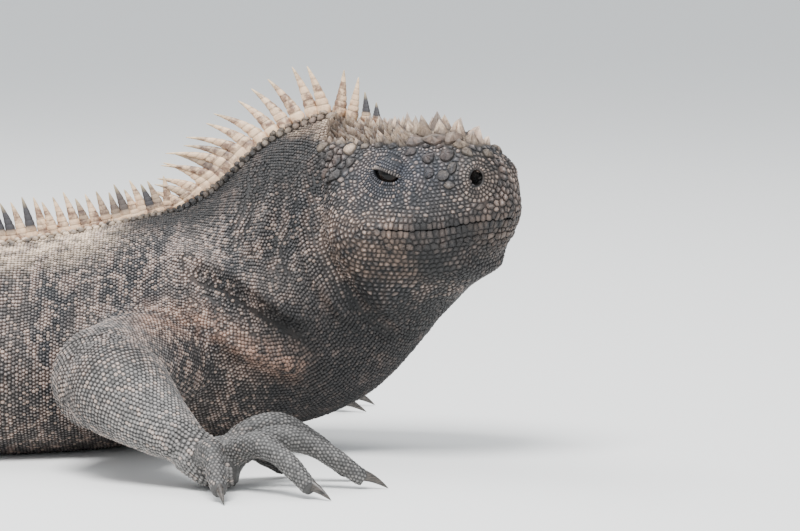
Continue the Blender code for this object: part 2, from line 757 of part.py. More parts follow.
# Each limb is a few rows of x, y, z, half width and half height. They are for the right side, and a left limb
# turns its y round.
RIGHT_ARM = {
    "upper": (
        (124, -16, 35, 25, 20),
        (121, -42, 34, 21, 18),
        (115, -62, 33, 18.5, 17.5),
        (111, -78, 32, 18, 18),
    ),
    "lower": (
        (112, -80, 32, 16.5, 16.5),
        (118, -90, 29, 17, 16),
        (128, -101, 22, 13, 12),
        (137, -110, 16.5, 9, 8.5),
    ),
    "hand": (138, -111, 15.0),
    "heading": -2.0,
}
LEFT_ARM = {
    "upper": (
        (122, -16, 38, 25, 20),
        (114, -42, 38, 21, 18),
        (105, -61, 37, 18.5, 17.5),
        (99, -77, 35, 18, 18),
    ),
    "lower": (
        (99, -79, 34, 16.5, 16.5),
        (108, -89, 30, 17, 16.5),
        (121, -99, 23, 13, 12.5),
        (132, -107, 16.5, 9, 8.5),
    ),
    "hand": (133, -108, 15.0),
    "heading": -8.0,
}
RIGHT_LEG = {
    "upper": ((-90, -12, 34, 25, 25), (-76, -32, 36, 24, 22), (-60, -52, 37, 19, 18), (-46, -68, 35, 15, 15)),
    "lower": (
        (-48, -70, 34, 13, 13),
        (-58, -80, 30, 14.5, 14),
        (-72, -90, 21, 11, 11),
        (-86, -98, 13, 9, 8.5),
    ),
    "hand": (-86, -98, 12),
    "heading": -12.0,
}
LEFT_LEG = {
    "upper": ((-90, -12, 34, 25, 25), (-80, -34, 36, 24, 22), (-68, -56, 36, 19, 18), (-56, -74, 33, 15, 15)),
    "lower": (
        (-58, -75, 33, 13, 13),
        (-70, -84, 28, 14.5, 14),
        (-86, -92, 20, 11, 11),
        (-102, -98, 13, 9, 8.5),
    ),
    "hand": (-102, -98, 12),
    "heading": -18.0,
}
# Digits from the inner one out: how far its base lies ahead and outwards of the wrist, heading, length and
# arch height
HAND_DIGITS = (
    (9, -8.5, 36, 28, 12),
    (15, -6.0, 17, 40, 22),
    (18, -1.0, -2, 41, 18),
    (16, 5.0, -36, 34, 17),
    (9, 8.5, -76, 25, 15),
)
FOOT_DIGITS = (
    (22, -9.0, 36, 25, 9),
    (29, -6.5, 17, 36, 12),
    (33, -1.5, 3, 50, 13),
    (32, 4.5, -9, 60, 13),
    (16, 9.0, -52, 42, 10),
)
# The pad from the wrist to the digits: share of its reach, half width and half height
PAD_ROWS = ((-0.2, 6, 5.5), (0.1, 9, 7.5), (0.45, 12, 7.5), (0.85, 13, 6.5), (1.1, 10.5, 5.0))
CLAW_LENGTH = 11.0


def limb_tube(name, rows, sides, where, grow=0.0, steps=7, side=1):
    """A limb's length with rounded ends. side is -1 for a left limb."""
    rows = [(x, y * side, z, wide + grow, tall + grow) for x, y, z, wide, tall in rows]
    course, knots = smooth_course(rows)
    run = list(course(np.linspace(0, knots[-1], steps)))
    first, last = np.array(run[0]), np.array(run[-1])
    inward = (run[0][:3] - run[1][:3]) / np.linalg.norm(run[0][:3] - run[1][:3])
    outward_way = (run[-1][:3] - run[-2][:3]) / np.linalg.norm(run[-1][:3] - run[-2][:3])
    starts, ends = [], []
    for angle in (0.5, 0.95):
        reach, narrow = math.sin(angle * math.pi / 2), math.cos(angle * math.pi / 2)
        starts.insert(0, (*(first[:3] + inward * first[3] * reach), *(first[3:] * max(narrow, 0.25))))
        ends.append((*(last[:3] + outward_way * last[3] * reach), *(last[3:] * max(narrow, 0.25))))
    return tube(name, starts + run + ends, sides, where)


def digit_run(base, heading, length, arch, start_height, steps=7):
    """Points along a digit: up from the palm to its arch and down to where the claw starts."""
    way = np.array([math.cos(heading), math.sin(heading), 0])
    run = []
    for t in np.linspace(-0.25, 1, steps):
        share = max(t, 0.0)
        rise = math.sin(math.pi * min(1.0, share * 0.92 + 0.08) ** 0.85)
        height = start_height * (1 - share) + 4.0 * share + (arch - start_height * 0.5) * rise * 0.75
        first_joint = 0.16 * math.exp(-(((share - 0.45) / 0.16) ** 2))
        second_joint = 0.1 * math.exp(-(((share - 0.8) / 0.1) ** 2))
        thick = (4.6 - 1.7 * share) * (1 + first_joint + second_joint)
        run.append((*(np.array(base) + way * length * t + np.array([0, 0, height])), thick, thick * 1.02))
    return run


def claw(name, start, way, size, where):
    """A curved claw that leaves the digit's end along way and bends down to the ground."""
    flat = np.array([way[0], way[1], 0])
    flat /= np.linalg.norm(flat)
    tip = start + flat * CLAW_LENGTH * 0.92
    tip[2] = 0.0
    middle = start + way * CLAW_LENGTH * 0.55 + np.array([0, 0, 0.8])
    aside = np.cross(flat, [0, 0, 1.0])
    rings = []
    for t in (0.0, 0.33, 0.7):
        centre = start * (1 - t) ** 2 + middle * 2 * t * (1 - t) + tip * t * t
        ahead = (middle - start) * (1 - t) + (tip - middle) * t if t else way
        up = np.cross(aside, ahead / np.linalg.norm(ahead))
        narrow = size * (1 - t) ** 0.8
        rings.append([
            centre + aside * math.sin(a) * narrow * 0.72 + up * math.cos(a) * narrow for a in ring_angles(6)
        ])
    rings = np.array(rings)
    rings[..., 2] = np.maximum(rings[..., 2], 0)
    return loft(name, rings, where, "claw", tip=tip)


def paw_node(name, limb, digits, side, where, pad_reach):
    """A hand or foot: its pad and five digits in one piece, with the five claws as pieces of their own."""
    wrist = np.array([limb["hand"][0], limb["hand"][1] * side, 0.0])
    heading = math.radians(limb["heading"]) * side
    ahead = np.array([math.cos(heading), math.sin(heading), 0])
    outer = np.array([math.sin(heading), -math.cos(heading), 0]) * side
    rise = limb["hand"][2]
    pad_rows = []
    for share, wide, tall in PAD_ROWS:
        height = rise + (6.5 - rise) * min(1.0, max(0.0, share) * 1.5)
        pad_rows.append((*(wrist + ahead * pad_reach * share + np.array([0, 0, height])), wide, tall))
    made = tube(name, pad_rows, 10, where)
    extras = collection(f"{name}_digits", hidden=True)
    claws = []
    for number, (forward_at, outer_at, angle, length, arch) in enumerate(digits, 1):
        base = wrist + ahead * forward_at + outer * outer_at
        turn = heading + math.radians(angle) * side
        run = digit_run(base, turn, length, arch, 6.5)
        tube(f"{name}_digit_{number}", run, 7, extras)
        way = np.array(run[-1][:3]) - np.array(run[-2][:3])
        way /= np.linalg.norm(way)
        start = np.array(run[-1][:3]) + way * GAP
        claws.append((f"{name}_claw_{number}", start, way, run[-1][3] * 0.86))
    boolean(made, "UNION", extras)
    cut = collection(f"{name}_ground", hidden=True)
    ground_block(cut)
    boolean(made, "DIFFERENCE", cut)
    for claw_row in claws:
        claw(*claw_row, where)
    return made


def trunk_cutters(where):
    """The surfaces of the torso and neck, a gap larger, which trim the roots of the limbs."""
    loft("torso_space", torso_rings(GAP * 2), where)
    loft("neck_space", neck_rings(GAP * 2), where)


def limb_nodes(limb, names, side, digits, pad_reach, where):
    upper_name, lower_name, paw_name = names
    upper = limb_tube(upper_name, limb["upper"], 14, where, side=side)
    cut = collection(f"{upper_name}_cut", hidden=True)
    trunk_cutters(cut)
    ground_block(cut)
    boolean(upper, "DIFFERENCE", cut)
    lower = limb_tube(lower_name, limb["lower"], 12, where, side=side)
    cut = collection(f"{lower_name}_cut", hidden=True)
    limb_tube("upper_space", limb["upper"], 14, cut, grow=GAP * 1.2, side=side)
    trunk_cutters(cut)
    ground_block(cut)
    boolean(lower, "DIFFERENCE", cut)
    paw = paw_node(paw_name, limb, digits, side, where, pad_reach)
    cut = collection(f"{paw_name}_cut", hidden=True)
    limb_tube("lower_space", limb["lower"], 12, cut, grow=GAP * 1.2, side=side)
    boolean(paw, "DIFFERENCE", cut)


def smooth_round_pieces(where):
    for made in where.objects:
        made.data.shade_smooth()
        made.data.set_sharp_from_angle(angle=math.radians(35))
        if made.name.endswith(("hand", "foot")):
            made.data.materials[0] = material("hide_pale")


def main():
    for old in list(bpy.data.objects):
        bpy.data.objects.remove(old)
    body = collection("iguana")
    tail_nodes(body)
    torso_node(body)
    neck_node(body)
    head_nodes(body)
    arm_names = ("upper_arm", "forearm", "hand")
    leg_names = ("thigh", "shank", "foot")
    for side, word, arm, leg in ((1, "right", RIGHT_ARM, RIGHT_LEG), (-1, "left", LEFT_ARM, LEFT_LEG)):
        limb_nodes(arm, [f"{word}_{name}" for name in arm_names], side, HAND_DIGITS, 17, body)
        limb_nodes(leg, [f"{word}_{name}" for name in leg_names], side, FOOT_DIGITS, 30, body)
    smooth_round_pieces(body)


main()
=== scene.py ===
"""A marine iguana at life size, with its scaled skin, crest, eyes and claws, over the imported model.

Lengths are in millimetres until a mesh is made, where MM turns them into metres.
"""

import json
import math

import bmesh
import bpy
import numpy as np
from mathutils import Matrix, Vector
from mathutils.bvhtree import BVHTree
from mathutils.kdtree import KDTree

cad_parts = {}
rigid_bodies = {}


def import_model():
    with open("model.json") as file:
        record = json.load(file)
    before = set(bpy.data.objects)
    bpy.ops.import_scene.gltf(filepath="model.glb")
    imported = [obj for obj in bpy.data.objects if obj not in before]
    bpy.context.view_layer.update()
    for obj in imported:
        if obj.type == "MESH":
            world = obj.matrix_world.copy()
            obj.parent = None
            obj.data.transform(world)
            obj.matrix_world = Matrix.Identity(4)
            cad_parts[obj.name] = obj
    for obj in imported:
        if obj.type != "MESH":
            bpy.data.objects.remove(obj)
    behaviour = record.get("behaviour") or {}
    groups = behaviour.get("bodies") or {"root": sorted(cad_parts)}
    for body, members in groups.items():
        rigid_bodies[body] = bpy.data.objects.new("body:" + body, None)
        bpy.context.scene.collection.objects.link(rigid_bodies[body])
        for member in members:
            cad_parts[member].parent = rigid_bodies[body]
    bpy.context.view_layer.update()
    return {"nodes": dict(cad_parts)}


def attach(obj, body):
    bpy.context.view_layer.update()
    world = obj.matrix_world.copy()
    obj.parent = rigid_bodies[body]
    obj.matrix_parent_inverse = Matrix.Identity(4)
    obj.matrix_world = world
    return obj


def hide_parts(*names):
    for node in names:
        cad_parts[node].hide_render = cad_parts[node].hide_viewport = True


MM = 0.001
for leftover in list(bpy.data.objects):
    bpy.data.objects.remove(leftover)
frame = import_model()

# The body's course, from the tail's tip to the snout. Each row is a section: x, y, height of the widest level, yaw,
# pitch, half width, reach above and below that level, squareness above and below, and how much it narrows upwards.

HEAD_AT = np.array((217.9, -28.0, 98.6))
HEAD_YAW = math.radians(-35.0)
HEAD_FORWARD = np.array([math.cos(HEAD_YAW), math.sin(HEAD_YAW), 0])
HEAD_ASIDE = np.array([math.sin(HEAD_YAW), -math.cos(HEAD_YAW), 0])
UP = np.array([0, 0, 1.0])


def head_point(f, right, u):
    """World points from the head's own f forwards, right and u up."""
    f, right, u = (np.asarray(v, float)[..., None] for v in (f, right, u))
    return HEAD_AT + f * HEAD_FORWARD + right * HEAD_ASIDE + u * UP


def head_local(points):
    away = np.asarray(points) - HEAD_AT
    return away @ HEAD_FORWARD, away @ HEAD_ASIDE, away[..., 2]


def tail_section(share, length=545.0, start=-118.0, wave=27.0):
    """A section of the tail, which lies in a gentle S on the ground."""
    steps = np.linspace(0, share, 60)
    swing = np.radians(wave) * np.sin(2 * math.pi * steps**0.9) * np.minimum(1, steps * 5)
    step = length * share / (len(steps) - 1)
    x = start - np.sum(np.cos(swing[1:])) * step
    y = np.sum(np.sin(swing[1:])) * step
    half_width = 1.0 + 25.0 * (1 - share) ** 2.3
    half_height = 1.8 + 24.2 * (1 - share) ** 0.95
    yaw = -math.degrees(swing[-1])
    return (x, y, half_height - 0.6, yaw, 0, half_width, half_height, half_height, 2.0, 2.1, 0.1)


def head_section(top_f, top_u, bottom_f, bottom_u, share, half_width, above, below, narrowing):
    f = bottom_f + (top_f - bottom_f) * share
    u = bottom_u + (top_u - bottom_u) * share
    tall = math.hypot(top_f - bottom_f, top_u - bottom_u)
    pitch = math.degrees(math.atan2(bottom_f - top_f, top_u - bottom_u))
    reach = (tall * (1 - share), tall * share)
    return (*head_point(f, 0, u), math.degrees(HEAD_YAW), pitch, half_width, *reach, above, below, narrowing)


TAIL_SHARES = (1.0, 0.9, 0.78, 0.66, 0.54, 0.42, 0.3, 0.2, 0.1)
BODY_SECTIONS = (
    (-118, 0.0, 25, 0, 0, 26, 26, 26, 2.0, 2.2, 0.10),
    (-95, 0.0, 25, 0, 0, 35, 33, 28, 2.0, 2.3, 0.15),
    (-55, 0.0, 26, 0, 0, 48, 38, 29, 2.0, 2.5, 0.20),
    (0, 0.0, 27, 0, 0, 57, 41, 30, 2.0, 2.6, 0.24),
    (50, 0.0, 29, 0, 0, 56, 40, 32, 2.0, 2.6, 0.25),
    (90, 0.0, 32, 0, 0, 49, 42, 34, 2.0, 2.5, 0.25),
    (125, 0.0, 38, -1, 2, 42, 43, 36, 2.0, 2.3, 0.22),
    (154, -2.5, 46, -7, 12, 37, 44, 41, 2.0, 2.2, 0.20),
    (180, -9.0, 60, -18, 23, 33, 48, 45, 2.0, 2.1, 0.22),
)
# Top f and u, bottom f and u, height share of the widest level, half width, squarenesses and narrowing
HEAD_SECTIONS = (
    (-36.0, 18.0, 0.0, -54.5, 0.46, 30.0, 2.1, 2.1, 0.30),
    (-24.0, 19.0, 8.0, -45.0, 0.42, 32.0, 2.3, 2.3, 0.36),
    (-10.0, 18.5, 15.0, -38.5, 0.40, 30.0, 2.5, 2.4, 0.38),
    (2.0, 17.5, 21.5, -35.5, 0.42, 27.0, 2.6, 2.2, 0.36),
    (12.0, 16.0, 26.5, -32.5, 0.44, 23.0, 2.6, 2.1, 0.32),
    (20.0, 13.0, 27.5, -29.5, 0.48, 19.5, 2.6, 2.1, 0.28),
    (26.5, 9.0, 29.8, -26.8, 0.51, 16.6, 2.5, 2.1, 0.22),
    (31.0, 4.5, 32.0, -24.0, 0.53, 13.4, 2.4, 2.1, 0.18),
    (34.3, -1.5, 34.5, -20.5, 0.53, 10.0, 2.2, 2.1, 0.10),
    (36.6, -7.5, 36.4, -15.5, 0.50, 5.2, 2.0, 2.0, 0.0),
)


def run_length(points):
    """The distance along a line of points at each of them."""
    return np.concatenate([[0], np.cumsum(np.linalg.norm(np.diff(points, axis=0), axis=1))])


def smooth_course(rows):
    """A natural cubic curve through rows whose first three numbers are a point, and the distance of each row."""
    rows = np.array(rows, float)
    knots = run_length(rows[:, :3])
    span = np.diff(knots)
    count = len(knots)
    system, right = np.eye(count), np.zeros_like(rows)
    for i in range(1, count - 1):
        system[i, i - 1 : i + 2] = span[i - 1], 2 * (span[i - 1] + span[i]), span[i]
        right[i] = 6 * ((rows[i + 1] - rows[i]) / span[i] - (rows[i] - rows[i - 1]) / span[i - 1])
    bend = np.linalg.solve(system, right)

    def position(at):
        at = np.atleast_1d(np.asarray(at, float))
        i = np.clip(np.searchsorted(knots, at) - 1, 0, count - 2)
        h = span[i][:, None]
        a = ((knots[i + 1] - at) / span[i])[:, None]
        b = 1 - a
        return a * rows[i] + b * rows[i + 1] + ((a**3 - a) * bend[i] + (b**3 - b) * bend[i + 1]) * h * h / 6

    return position, knots


tail_rows = [tail_section(share) for share in TAIL_SHARES]
trunk_at, knots = smooth_course(tail_rows + list(BODY_SECTIONS) + [head_section(*row) for row in HEAD_SECTIONS])
BODY_START = knots[len(TAIL_SHARES)]
NECK_START = knots[len(TAIL_SHARES) + 6] + 12.0
HEAD_START = knots[len(TAIL_SHARES) + len(BODY_SECTIONS)]
HEAD_END = knots[-1]

RUSTY_FOLD = ((124.8, 49.2), (139.4, 49.0), (150, 42.7), (157.5, 37.5), (172.5, 33))
# Folds of the trunk's skin, seen from the side: 1 for the right side or -1 for the left, x and z along the fold, its
# reach and its height. The turned head presses the neck's right side together.
SKIN_FOLDS = (
    (1, ((181.5, 98), (181, 78), (188, 63.5), (198, 52), (206, 44.5)), 2.0, -4.8),
    (1, ((189, 94), (188, 78), (195, 65), (205, 55)), 4.5, 2.2),
    (1, ((176, 98), (175.5, 80), (181, 64), (191, 51)), 2.6, 2.0),
    (1, ((171, 96), (170.4, 84.6), (165.3, 71.7), (167.6, 63.5)), 1.8, -3.6),
    (1, ((166, 96), (164.5, 84), (160, 72)), 2.4, 1.7),
    (1, ((160.5, 96), (158.5, 84), (154, 74)), 1.8, -2.4),
    (1, ((137.7, 62.1), (150.7, 58), (162.3, 50.5), (174.5, 42.7)), 2.3, -4.8),
    (1, ((136, 68), (151, 64.5), (164, 56.5), (178, 48)), 4.2, 2.8),
    (1, ((138.2, 53), (151.2, 46), (160, 41.5)), 2.4, -3.8),
    (1, RUSTY_FOLD, 3.6, 3.2),
    (-1, ((150, 84), (160, 64), (172, 44)), 3.6, -1.8),
    (-1, ((136, 66), (152, 60), (170, 46)), 4.5, 1.6),
    (-1, RUSTY_FOLD, 4.0, 1.6),
    (1, ((112, 66), (118, 50)), 15.0, 2.5),
    (-1, ((112, 66), (118, 50)), 15.0, 2.5),
    (1, ((-88, 52), (-70, 44)), 14.0, 3.0),
    (-1, ((-88, 52), (-70, 44)), 14.0, 3.0),
    (1, ((80, 50), (20, 34)), 6.0, -1.3),
    (-1, ((80, 50), (20, 34)), 6.0, -1.3),
    (1, ((0, 40), (-50, 44)), 6.0, -1.2),
    (-1, ((0, 40), (-50, 44)), 6.0, -1.2),
)
# Swellings of the head: f, l, u, the reach along f and u, and the height, on both sides
HEAD_BULGES = (
    (-1, 21, 11, 13, 4, 2.2),
    (-14, 31, -24, 12, 11, 3.0),
    (29, 12, 2, 8, 6, 2.0),
    (12, 0, -36, 10, 8, 2.5),
    (10, 20, -6, 8, 5, -1.6),
    (-2, 24, -10, 9, 3, -1.2),
    (20, 17, -26.5, 15, 2.5, -1.3),
    (14, 13, -31.5, 13, 3, 1.2),
    (14, 18, -11, 14, 4, 1.0),
)
MOUTH_CORNER = 1.0
MOUTH_LINE = ((-2, -17.8), (16, -18.4), (26, -16.8), (36, -14.8))  # f and u
CHEEK_FOLD = ((-10.3, -6), (-4.2, -8.8), (2.6, -9.8), (10.3, -7.1), (23, -4.6), (31, -5.2))
NOSTRIL_AT, NOSTRIL_TURN = (29.8, 11.2, -0.5), 36.0
# How far the crown's skin lies under the solids' surface, which its cones fill
CROWN_DEPTH = ((-38, -28, -10, 4, 14, 24), (0.5, 3.6, 3.6, 2.4, 1.2, 0.6))


def soft(value, low, high):
    share = np.clip((value - low) / (high - low), 0, 1)
    return share * share * (3 - 2 * share)


def nearest_on(places, line):
    """The nearest point of a line to each place, both in a plane."""
    line = np.array(line, float)
    best, found = np.full(len(places), 1e9), np.zeros_like(places, float)
    for start, end in zip(line, line[1:]):
        way = end - start
        share = np.clip((places - start) @ way / (way @ way), 0, 1)
        point = start + share[:, None] * way
        away = np.linalg.norm(places - point, axis=1)
        nearer = away < best
        best[nearer], found[nearer] = away[nearer], point[nearer]
    return found


def line_away(places, line):
    return np.linalg.norm(places - nearest_on(places, line), axis=1)


def mouth_level(f):
    return -18.4 + 3.6 * soft(np.asarray(f), 16, 36)


def wave_line(away, width, depth):
    return -depth * np.exp(-((away / width) ** 2))


def eye_rings(f, u):
    """How far out each place of the face lies among the rings of folds round the eye."""
    return np.hypot(f / 1.25, (u + 0.6) * 1.1)


def face_wrinkles(f, right, u):
    """The fine folds of the face: rings round the eye, and lines under the nostril and along the mouth and jowl."""
    side = np.clip((np.abs(right) - 9) / 5, 0, 1)
    push = np.zeros_like(f)
    rings = eye_rings(f, u)
    for ring, depth in ((7.4, 1.6), (9.7, 1.2), (12.0, 1.1), (14.3, 0.8)):
        push += wave_line(rings - ring, 0.75, depth) * side
    seen = np.stack([f, u], 1)
    push += wave_line(line_away(seen, CHEEK_FOLD), 0.9, 2.2) * side
    push += 1.3 * np.exp(-((line_away(seen - (0, 2.4), CHEEK_FOLD) / 1.3) ** 2)) * side
    for level, start, end in ((-7.6, 11, 33), (-9.0, 8, 34), (-10.5, 5, 33), (-12.0, 9, 31)):
        along = np.clip(np.minimum(f - start, end - f) / 4, 0, 1)
        push += wave_line(u - level - 0.9 * np.sin((f - start) * 0.16), 0.6, 1.1) * along * side
    off_mouth = line_away(seen, MOUTH_LINE)
    below = np.clip((-14 - u) / 3, 0, 1) * np.clip((30 - f) / 8, 0, 1)
    behind = np.clip((1 - f) / 4, 0, 1) * np.clip((-7 - u) / 4, 0, 1)
    for ring in (6.6, 9.6, 12.6, 15.6, 18.6):
        push += wave_line(off_mouth - ring, 0.75, 1.2) * np.maximum(0.6 * below, behind) * side
    lip = np.clip((f - MOUTH_CORNER) / 6, 0, 1) * np.clip((36.5 - f) / 0.4, 0.6, 1)
    off = u - mouth_level(f)
    push += 0.4 * lip * (np.exp(-(((off - 2.0) / 1.5) ** 2)) + np.exp(-(((off + 2.2) / 1.6) ** 2)))
    push += wave_line(off - 4.4, 0.5, 0.5) * lip + wave_line(off + 4.6, 0.6, 0.7) * lip
    turn = math.radians(NOSTRIL_TURN)
    from_hole = np.stack([f - NOSTRIL_AT[0], np.abs(right) - NOSTRIL_AT[1], (u - NOSTRIL_AT[2]) / 1.15], 1)
    out = from_hole @ (math.sin(turn), math.cos(turn), 0)
    rim = np.sqrt(np.maximum(np.sum(from_hole**2, 1) - out**2, 0))
    near = np.abs(out) < 6
    collar = 1.5 * np.exp(-(((rim - 3.8) / 1.3) ** 2))
    push += near * (collar + wave_line(rim - 5.9, 0.6, 0.6) + wave_line(rim - 7.6, 0.6, 0.5))
    return push


def powered(value, power):
    return np.sign(value) * np.abs(value) ** power


def trunk_plain(s, angle, rows, grow):
    """Points of the body without folds. An angle runs from the back, 0, over the right side to the belly, pi."""
    yaw, pitch = np.radians(rows[:, 3]), np.radians(rows[:, 4])
    aside = np.stack([np.sin(yaw), -np.cos(yaw), np.zeros_like(yaw)], 1)
    up = np.stack([-np.sin(pitch) * np.cos(yaw), -np.sin(pitch) * np.sin(yaw), np.cos(pitch)], 1)
    sine, cosine = np.sin(angle), np.cos(angle)
    upper = cosine > 0
    power = np.where(upper, rows[:, 8], rows[:, 9])
    reach = np.where(upper, rows[:, 6], rows[:, 7]) + grow
    height = powered(cosine, 2 / power)
    width = (rows[:, 5] + grow) * powered(sine, 2 / power) * (1 - rows[:, 10] * np.maximum(0, height))
    return rows[:, :3] + aside * width[:, None] + up * (height * reach)[:, None]


def trunk_point(s, angle, grow=0.0):
    """Points of the trunk's skin for paired distances and angles, with every fold and swelling."""
    s, angle = np.broadcast_arrays(np.atleast_1d(np.asarray(s, float)), np.asarray(angle, float))
    rows = trunk_at(s)
    plain = trunk_plain(s, angle, rows, grow)
    yaw, pitch = np.radians(rows[:, 3]), np.radians(rows[:, 4])
    ahead = np.stack([np.cos(pitch) * np.cos(yaw), np.cos(pitch) * np.sin(yaw), np.sin(pitch)], 1)
    around = trunk_plain(s, angle + 0.02, rows, grow) - trunk_plain(s, angle - 0.02, rows, grow)
    normal = np.cross(around, ahead)
    normal /= np.maximum(np.linalg.norm(normal, axis=1, keepdims=True), 1e-9)
    push = np.zeros(len(s))
    seen = plain[:, [0, 2]]
    for side, line, reach, height in SKIN_FOLDS:
        push += height * np.exp(-((line_away(seen, line) / reach) ** 2)) * np.clip(np.sin(angle) * side * 3, 0, 1)
    off = np.abs((angle + math.pi) % (2 * math.pi) - math.pi)
    nape = (s - NECK_START) / (HEAD_START - NECK_START)
    push += 2.5 * np.clip(np.minimum(nape * 6, (1.2 - nape) * 3), 0, 1) * np.exp(-((off / 0.16) ** 2))
    push += 1.2 * np.clip(np.minimum((s - BODY_START) / 20, -nape * 12), 0, 1) * np.exp(-((off / 0.1) ** 2))
    f, right, u = head_local(plain)
    on_head = np.clip((s - HEAD_START) / 5 + 0.6, 0, 1)
    for bulge_f, bulge_l, bulge_u, reach_f, reach_u, height in HEAD_BULGES:
        spread = ((f - bulge_f) / reach_f) ** 2 + ((u - bulge_u) / reach_u) ** 2
        push += on_head * height * np.exp(-spread - ((np.abs(right) - bulge_l) / 9.0) ** 2)
    push -= on_head * soft(u, 8, 12) * np.interp(f, *CROWN_DEPTH)
    left = np.clip((-right - 8) / 14, 0, 1)
    push -= 2.0 * np.exp(-(((s - HEAD_START) / 2.4) ** 2)) * left
    near = s > HEAD_START - 2
    push[near] += (on_head * face_wrinkles(f, right, u))[near]
    points = plain + normal * push[:, None]
    points[:, 2] = np.maximum(points[:, 2], -grow)
    return points


# The skin: the trunk and limbs joined into one mesh, smooth where a limb leaves the body.

COAT_DEPTH = 0.45  # of the skin under the solids' surface, which the scales fill
SIDES = 204


def ring_angles(sides):
    return np.arange(sides) * 2 * math.pi / sides


def mesh_object(name, points, faces, smooth=True):
    mesh = bpy.data.meshes.new(name)
    mesh.from_pydata((np.asarray(points, float) * MM).tolist(), [], faces)
    made = bpy.data.objects.new(name, mesh)
    bpy.context.scene.collection.objects.link(made)
    shape = bmesh.new()
    shape.from_mesh(mesh)
    bmesh.ops.recalc_face_normals(shape, faces=shape.faces)
    shape.to_mesh(mesh)
    shape.free()
    mesh.polygons.foreach_set("use_smooth", [smooth] * len(mesh.polygons))
    return made


def loft(name, rings, tip=None, start_tip=None):
    """A closed mesh over rings of points, with a fan at each end, drawn to a tip where one is given."""
    rings = np.asarray(rings, float)
    count, sides = rings.shape[:2]
    ends = [rings[0].mean(0) if start_tip is None else start_tip, rings[-1].mean(0) if tip is None else tip]
    i, j = np.meshgrid(np.arange(count - 1), np.arange(sides), indexing="ij")
    k = (j + 1) % sides
    quads = np.stack([i * sides + j, i * sides + k, (i + 1) * sides + k, (i + 1) * sides + j], 2).reshape(-1, 4)
    first, last = count * sides, count * sides + 1
    faces = quads.tolist()
    for j in range(sides):
        k = (j + 1) % sides
        faces.append((first, k, j))
        faces.append((last, (count - 1) * sides + j, (count - 1) * sides + k))
    return mesh_object(name, np.vstack([rings.reshape(-1, 3), ends]), faces)


def tube(name, rows, sides):
    """A closed tube through rows of x, y, z, half width and half height."""
    rows = np.array(rows, float)
    along = np.gradient(rows[:, :3], axis=0)
    along /= np.linalg.norm(along, axis=1, keepdims=True)
    aside = np.cross(along, UP)
    aside /= np.linalg.norm(aside, axis=1, keepdims=True)
    up = np.cross(aside, along)
    angle = ring_angles(sides)
    rings = (
        rows[:, None, :3]
        + aside[:, None] * (np.sin(angle)[None] * rows[:, 3:4])[..., None]
        + up[:, None] * (np.cos(angle)[None] * rows[:, 4:5])[..., None]
    )
    return loft(name, rings)


def boolean(made, operation, tools):
    """Joins or cuts made with the tools by one modifier, applies it and removes the tools."""
    group = bpy.data.collections.new("tools")
    for tool in tools:
        group.objects.link(tool)
    modifier = made.modifiers.new("cut", "BOOLEAN")
    modifier.operation = operation
    modifier.operand_type = "COLLECTION"
    modifier.collection = group
    modifier.solver = "MANIFOLD"
    graph = bpy.context.evaluated_depsgraph_get()
    mesh = bpy.data.meshes.new_from_object(made.evaluated_get(graph))
    made.modifiers.clear()
    made.data = mesh
    for tool in tools:
        bpy.data.objects.remove(tool)
    bpy.data.collections.remove(group)


ring_steps = ((0, BODY_START, 5.0), (BODY_START, NECK_START - 30, 3.0), (NECK_START - 30, HEAD_START - 6, 1.3))
ring_steps += ((HEAD_START - 6, HEAD_END, 0.75),)
stops = [np.linspace(low, high, int((high - low) / step), endpoint=False) for low, high, step in ring_steps]
stops = np.concatenate(stops + [[HEAD_END]])
grid_s, grid_angle = np.meshgrid(stops, ring_angles(SIDES), indexing="ij")
rings = trunk_point(grid_s.ravel(), grid_angle.ravel(), -COAT_DEPTH).reshape(len(stops), SIDES, 3)
skin = loft("skin", rings, tip=head_point(37.2, 0, -11.5))

# Limbs: x, y, z, half width and half height of the upper and lower lengths, then the wrist and the heading. y turns
# round for a left limb.
LIMBS = {
    "right_arm": (
        1,
        ((124, -16, 35, 25, 20), (121, -42, 34, 21, 18), (115, -62, 33, 18.5, 17.5), (111, -78, 32, 18, 18)),
        ((112, -80, 32, 16.5, 16.5), (118, -90, 29, 17, 16), (128, -101, 22, 13, 12), (137, -110, 16.5, 9, 8.5)),
        (138, -111, 15.0),
        -2.0,
    ),
    "left_arm": (
        -1,
        ((122, -16, 38, 25, 20), (114, -42, 38, 21, 18), (105, -61, 37, 18.5, 17.5), (99, -77, 35, 18, 18)),
        ((99, -79, 34, 16.5, 16.5), (108, -89, 30, 17, 16.5), (121, -99, 23, 13, 12.5), (132, -107, 16.5, 9, 8.5)),
        (133, -108, 15.0),
        -8.0,
    ),
    "right_leg": (
        1,
        ((-90, -12, 34, 25, 25), (-76, -32, 36, 24, 22), (-60, -52, 37, 19, 18), (-46, -68, 35, 15, 15)),
        ((-48, -70, 34, 13, 13), (-58, -80, 30, 14.5, 14), (-72, -90, 21, 11, 11), (-86, -98, 13, 9, 8.5)),
        (-86, -98, 12),
        -12.0,
    ),
    "left_leg": (
        -1,
        ((-90, -12, 34, 25, 25), (-80, -34, 36, 24, 22), (-68, -56, 36, 19, 18), (-56, -74, 33, 15, 15)),
        ((-58, -75, 33, 13, 13), (-70, -84, 28, 14.5, 14), (-86, -92, 20, 11, 11), (-102, -98, 13, 9, 8.5)),
        (-102, -98, 12),
        -18.0,
    ),
}
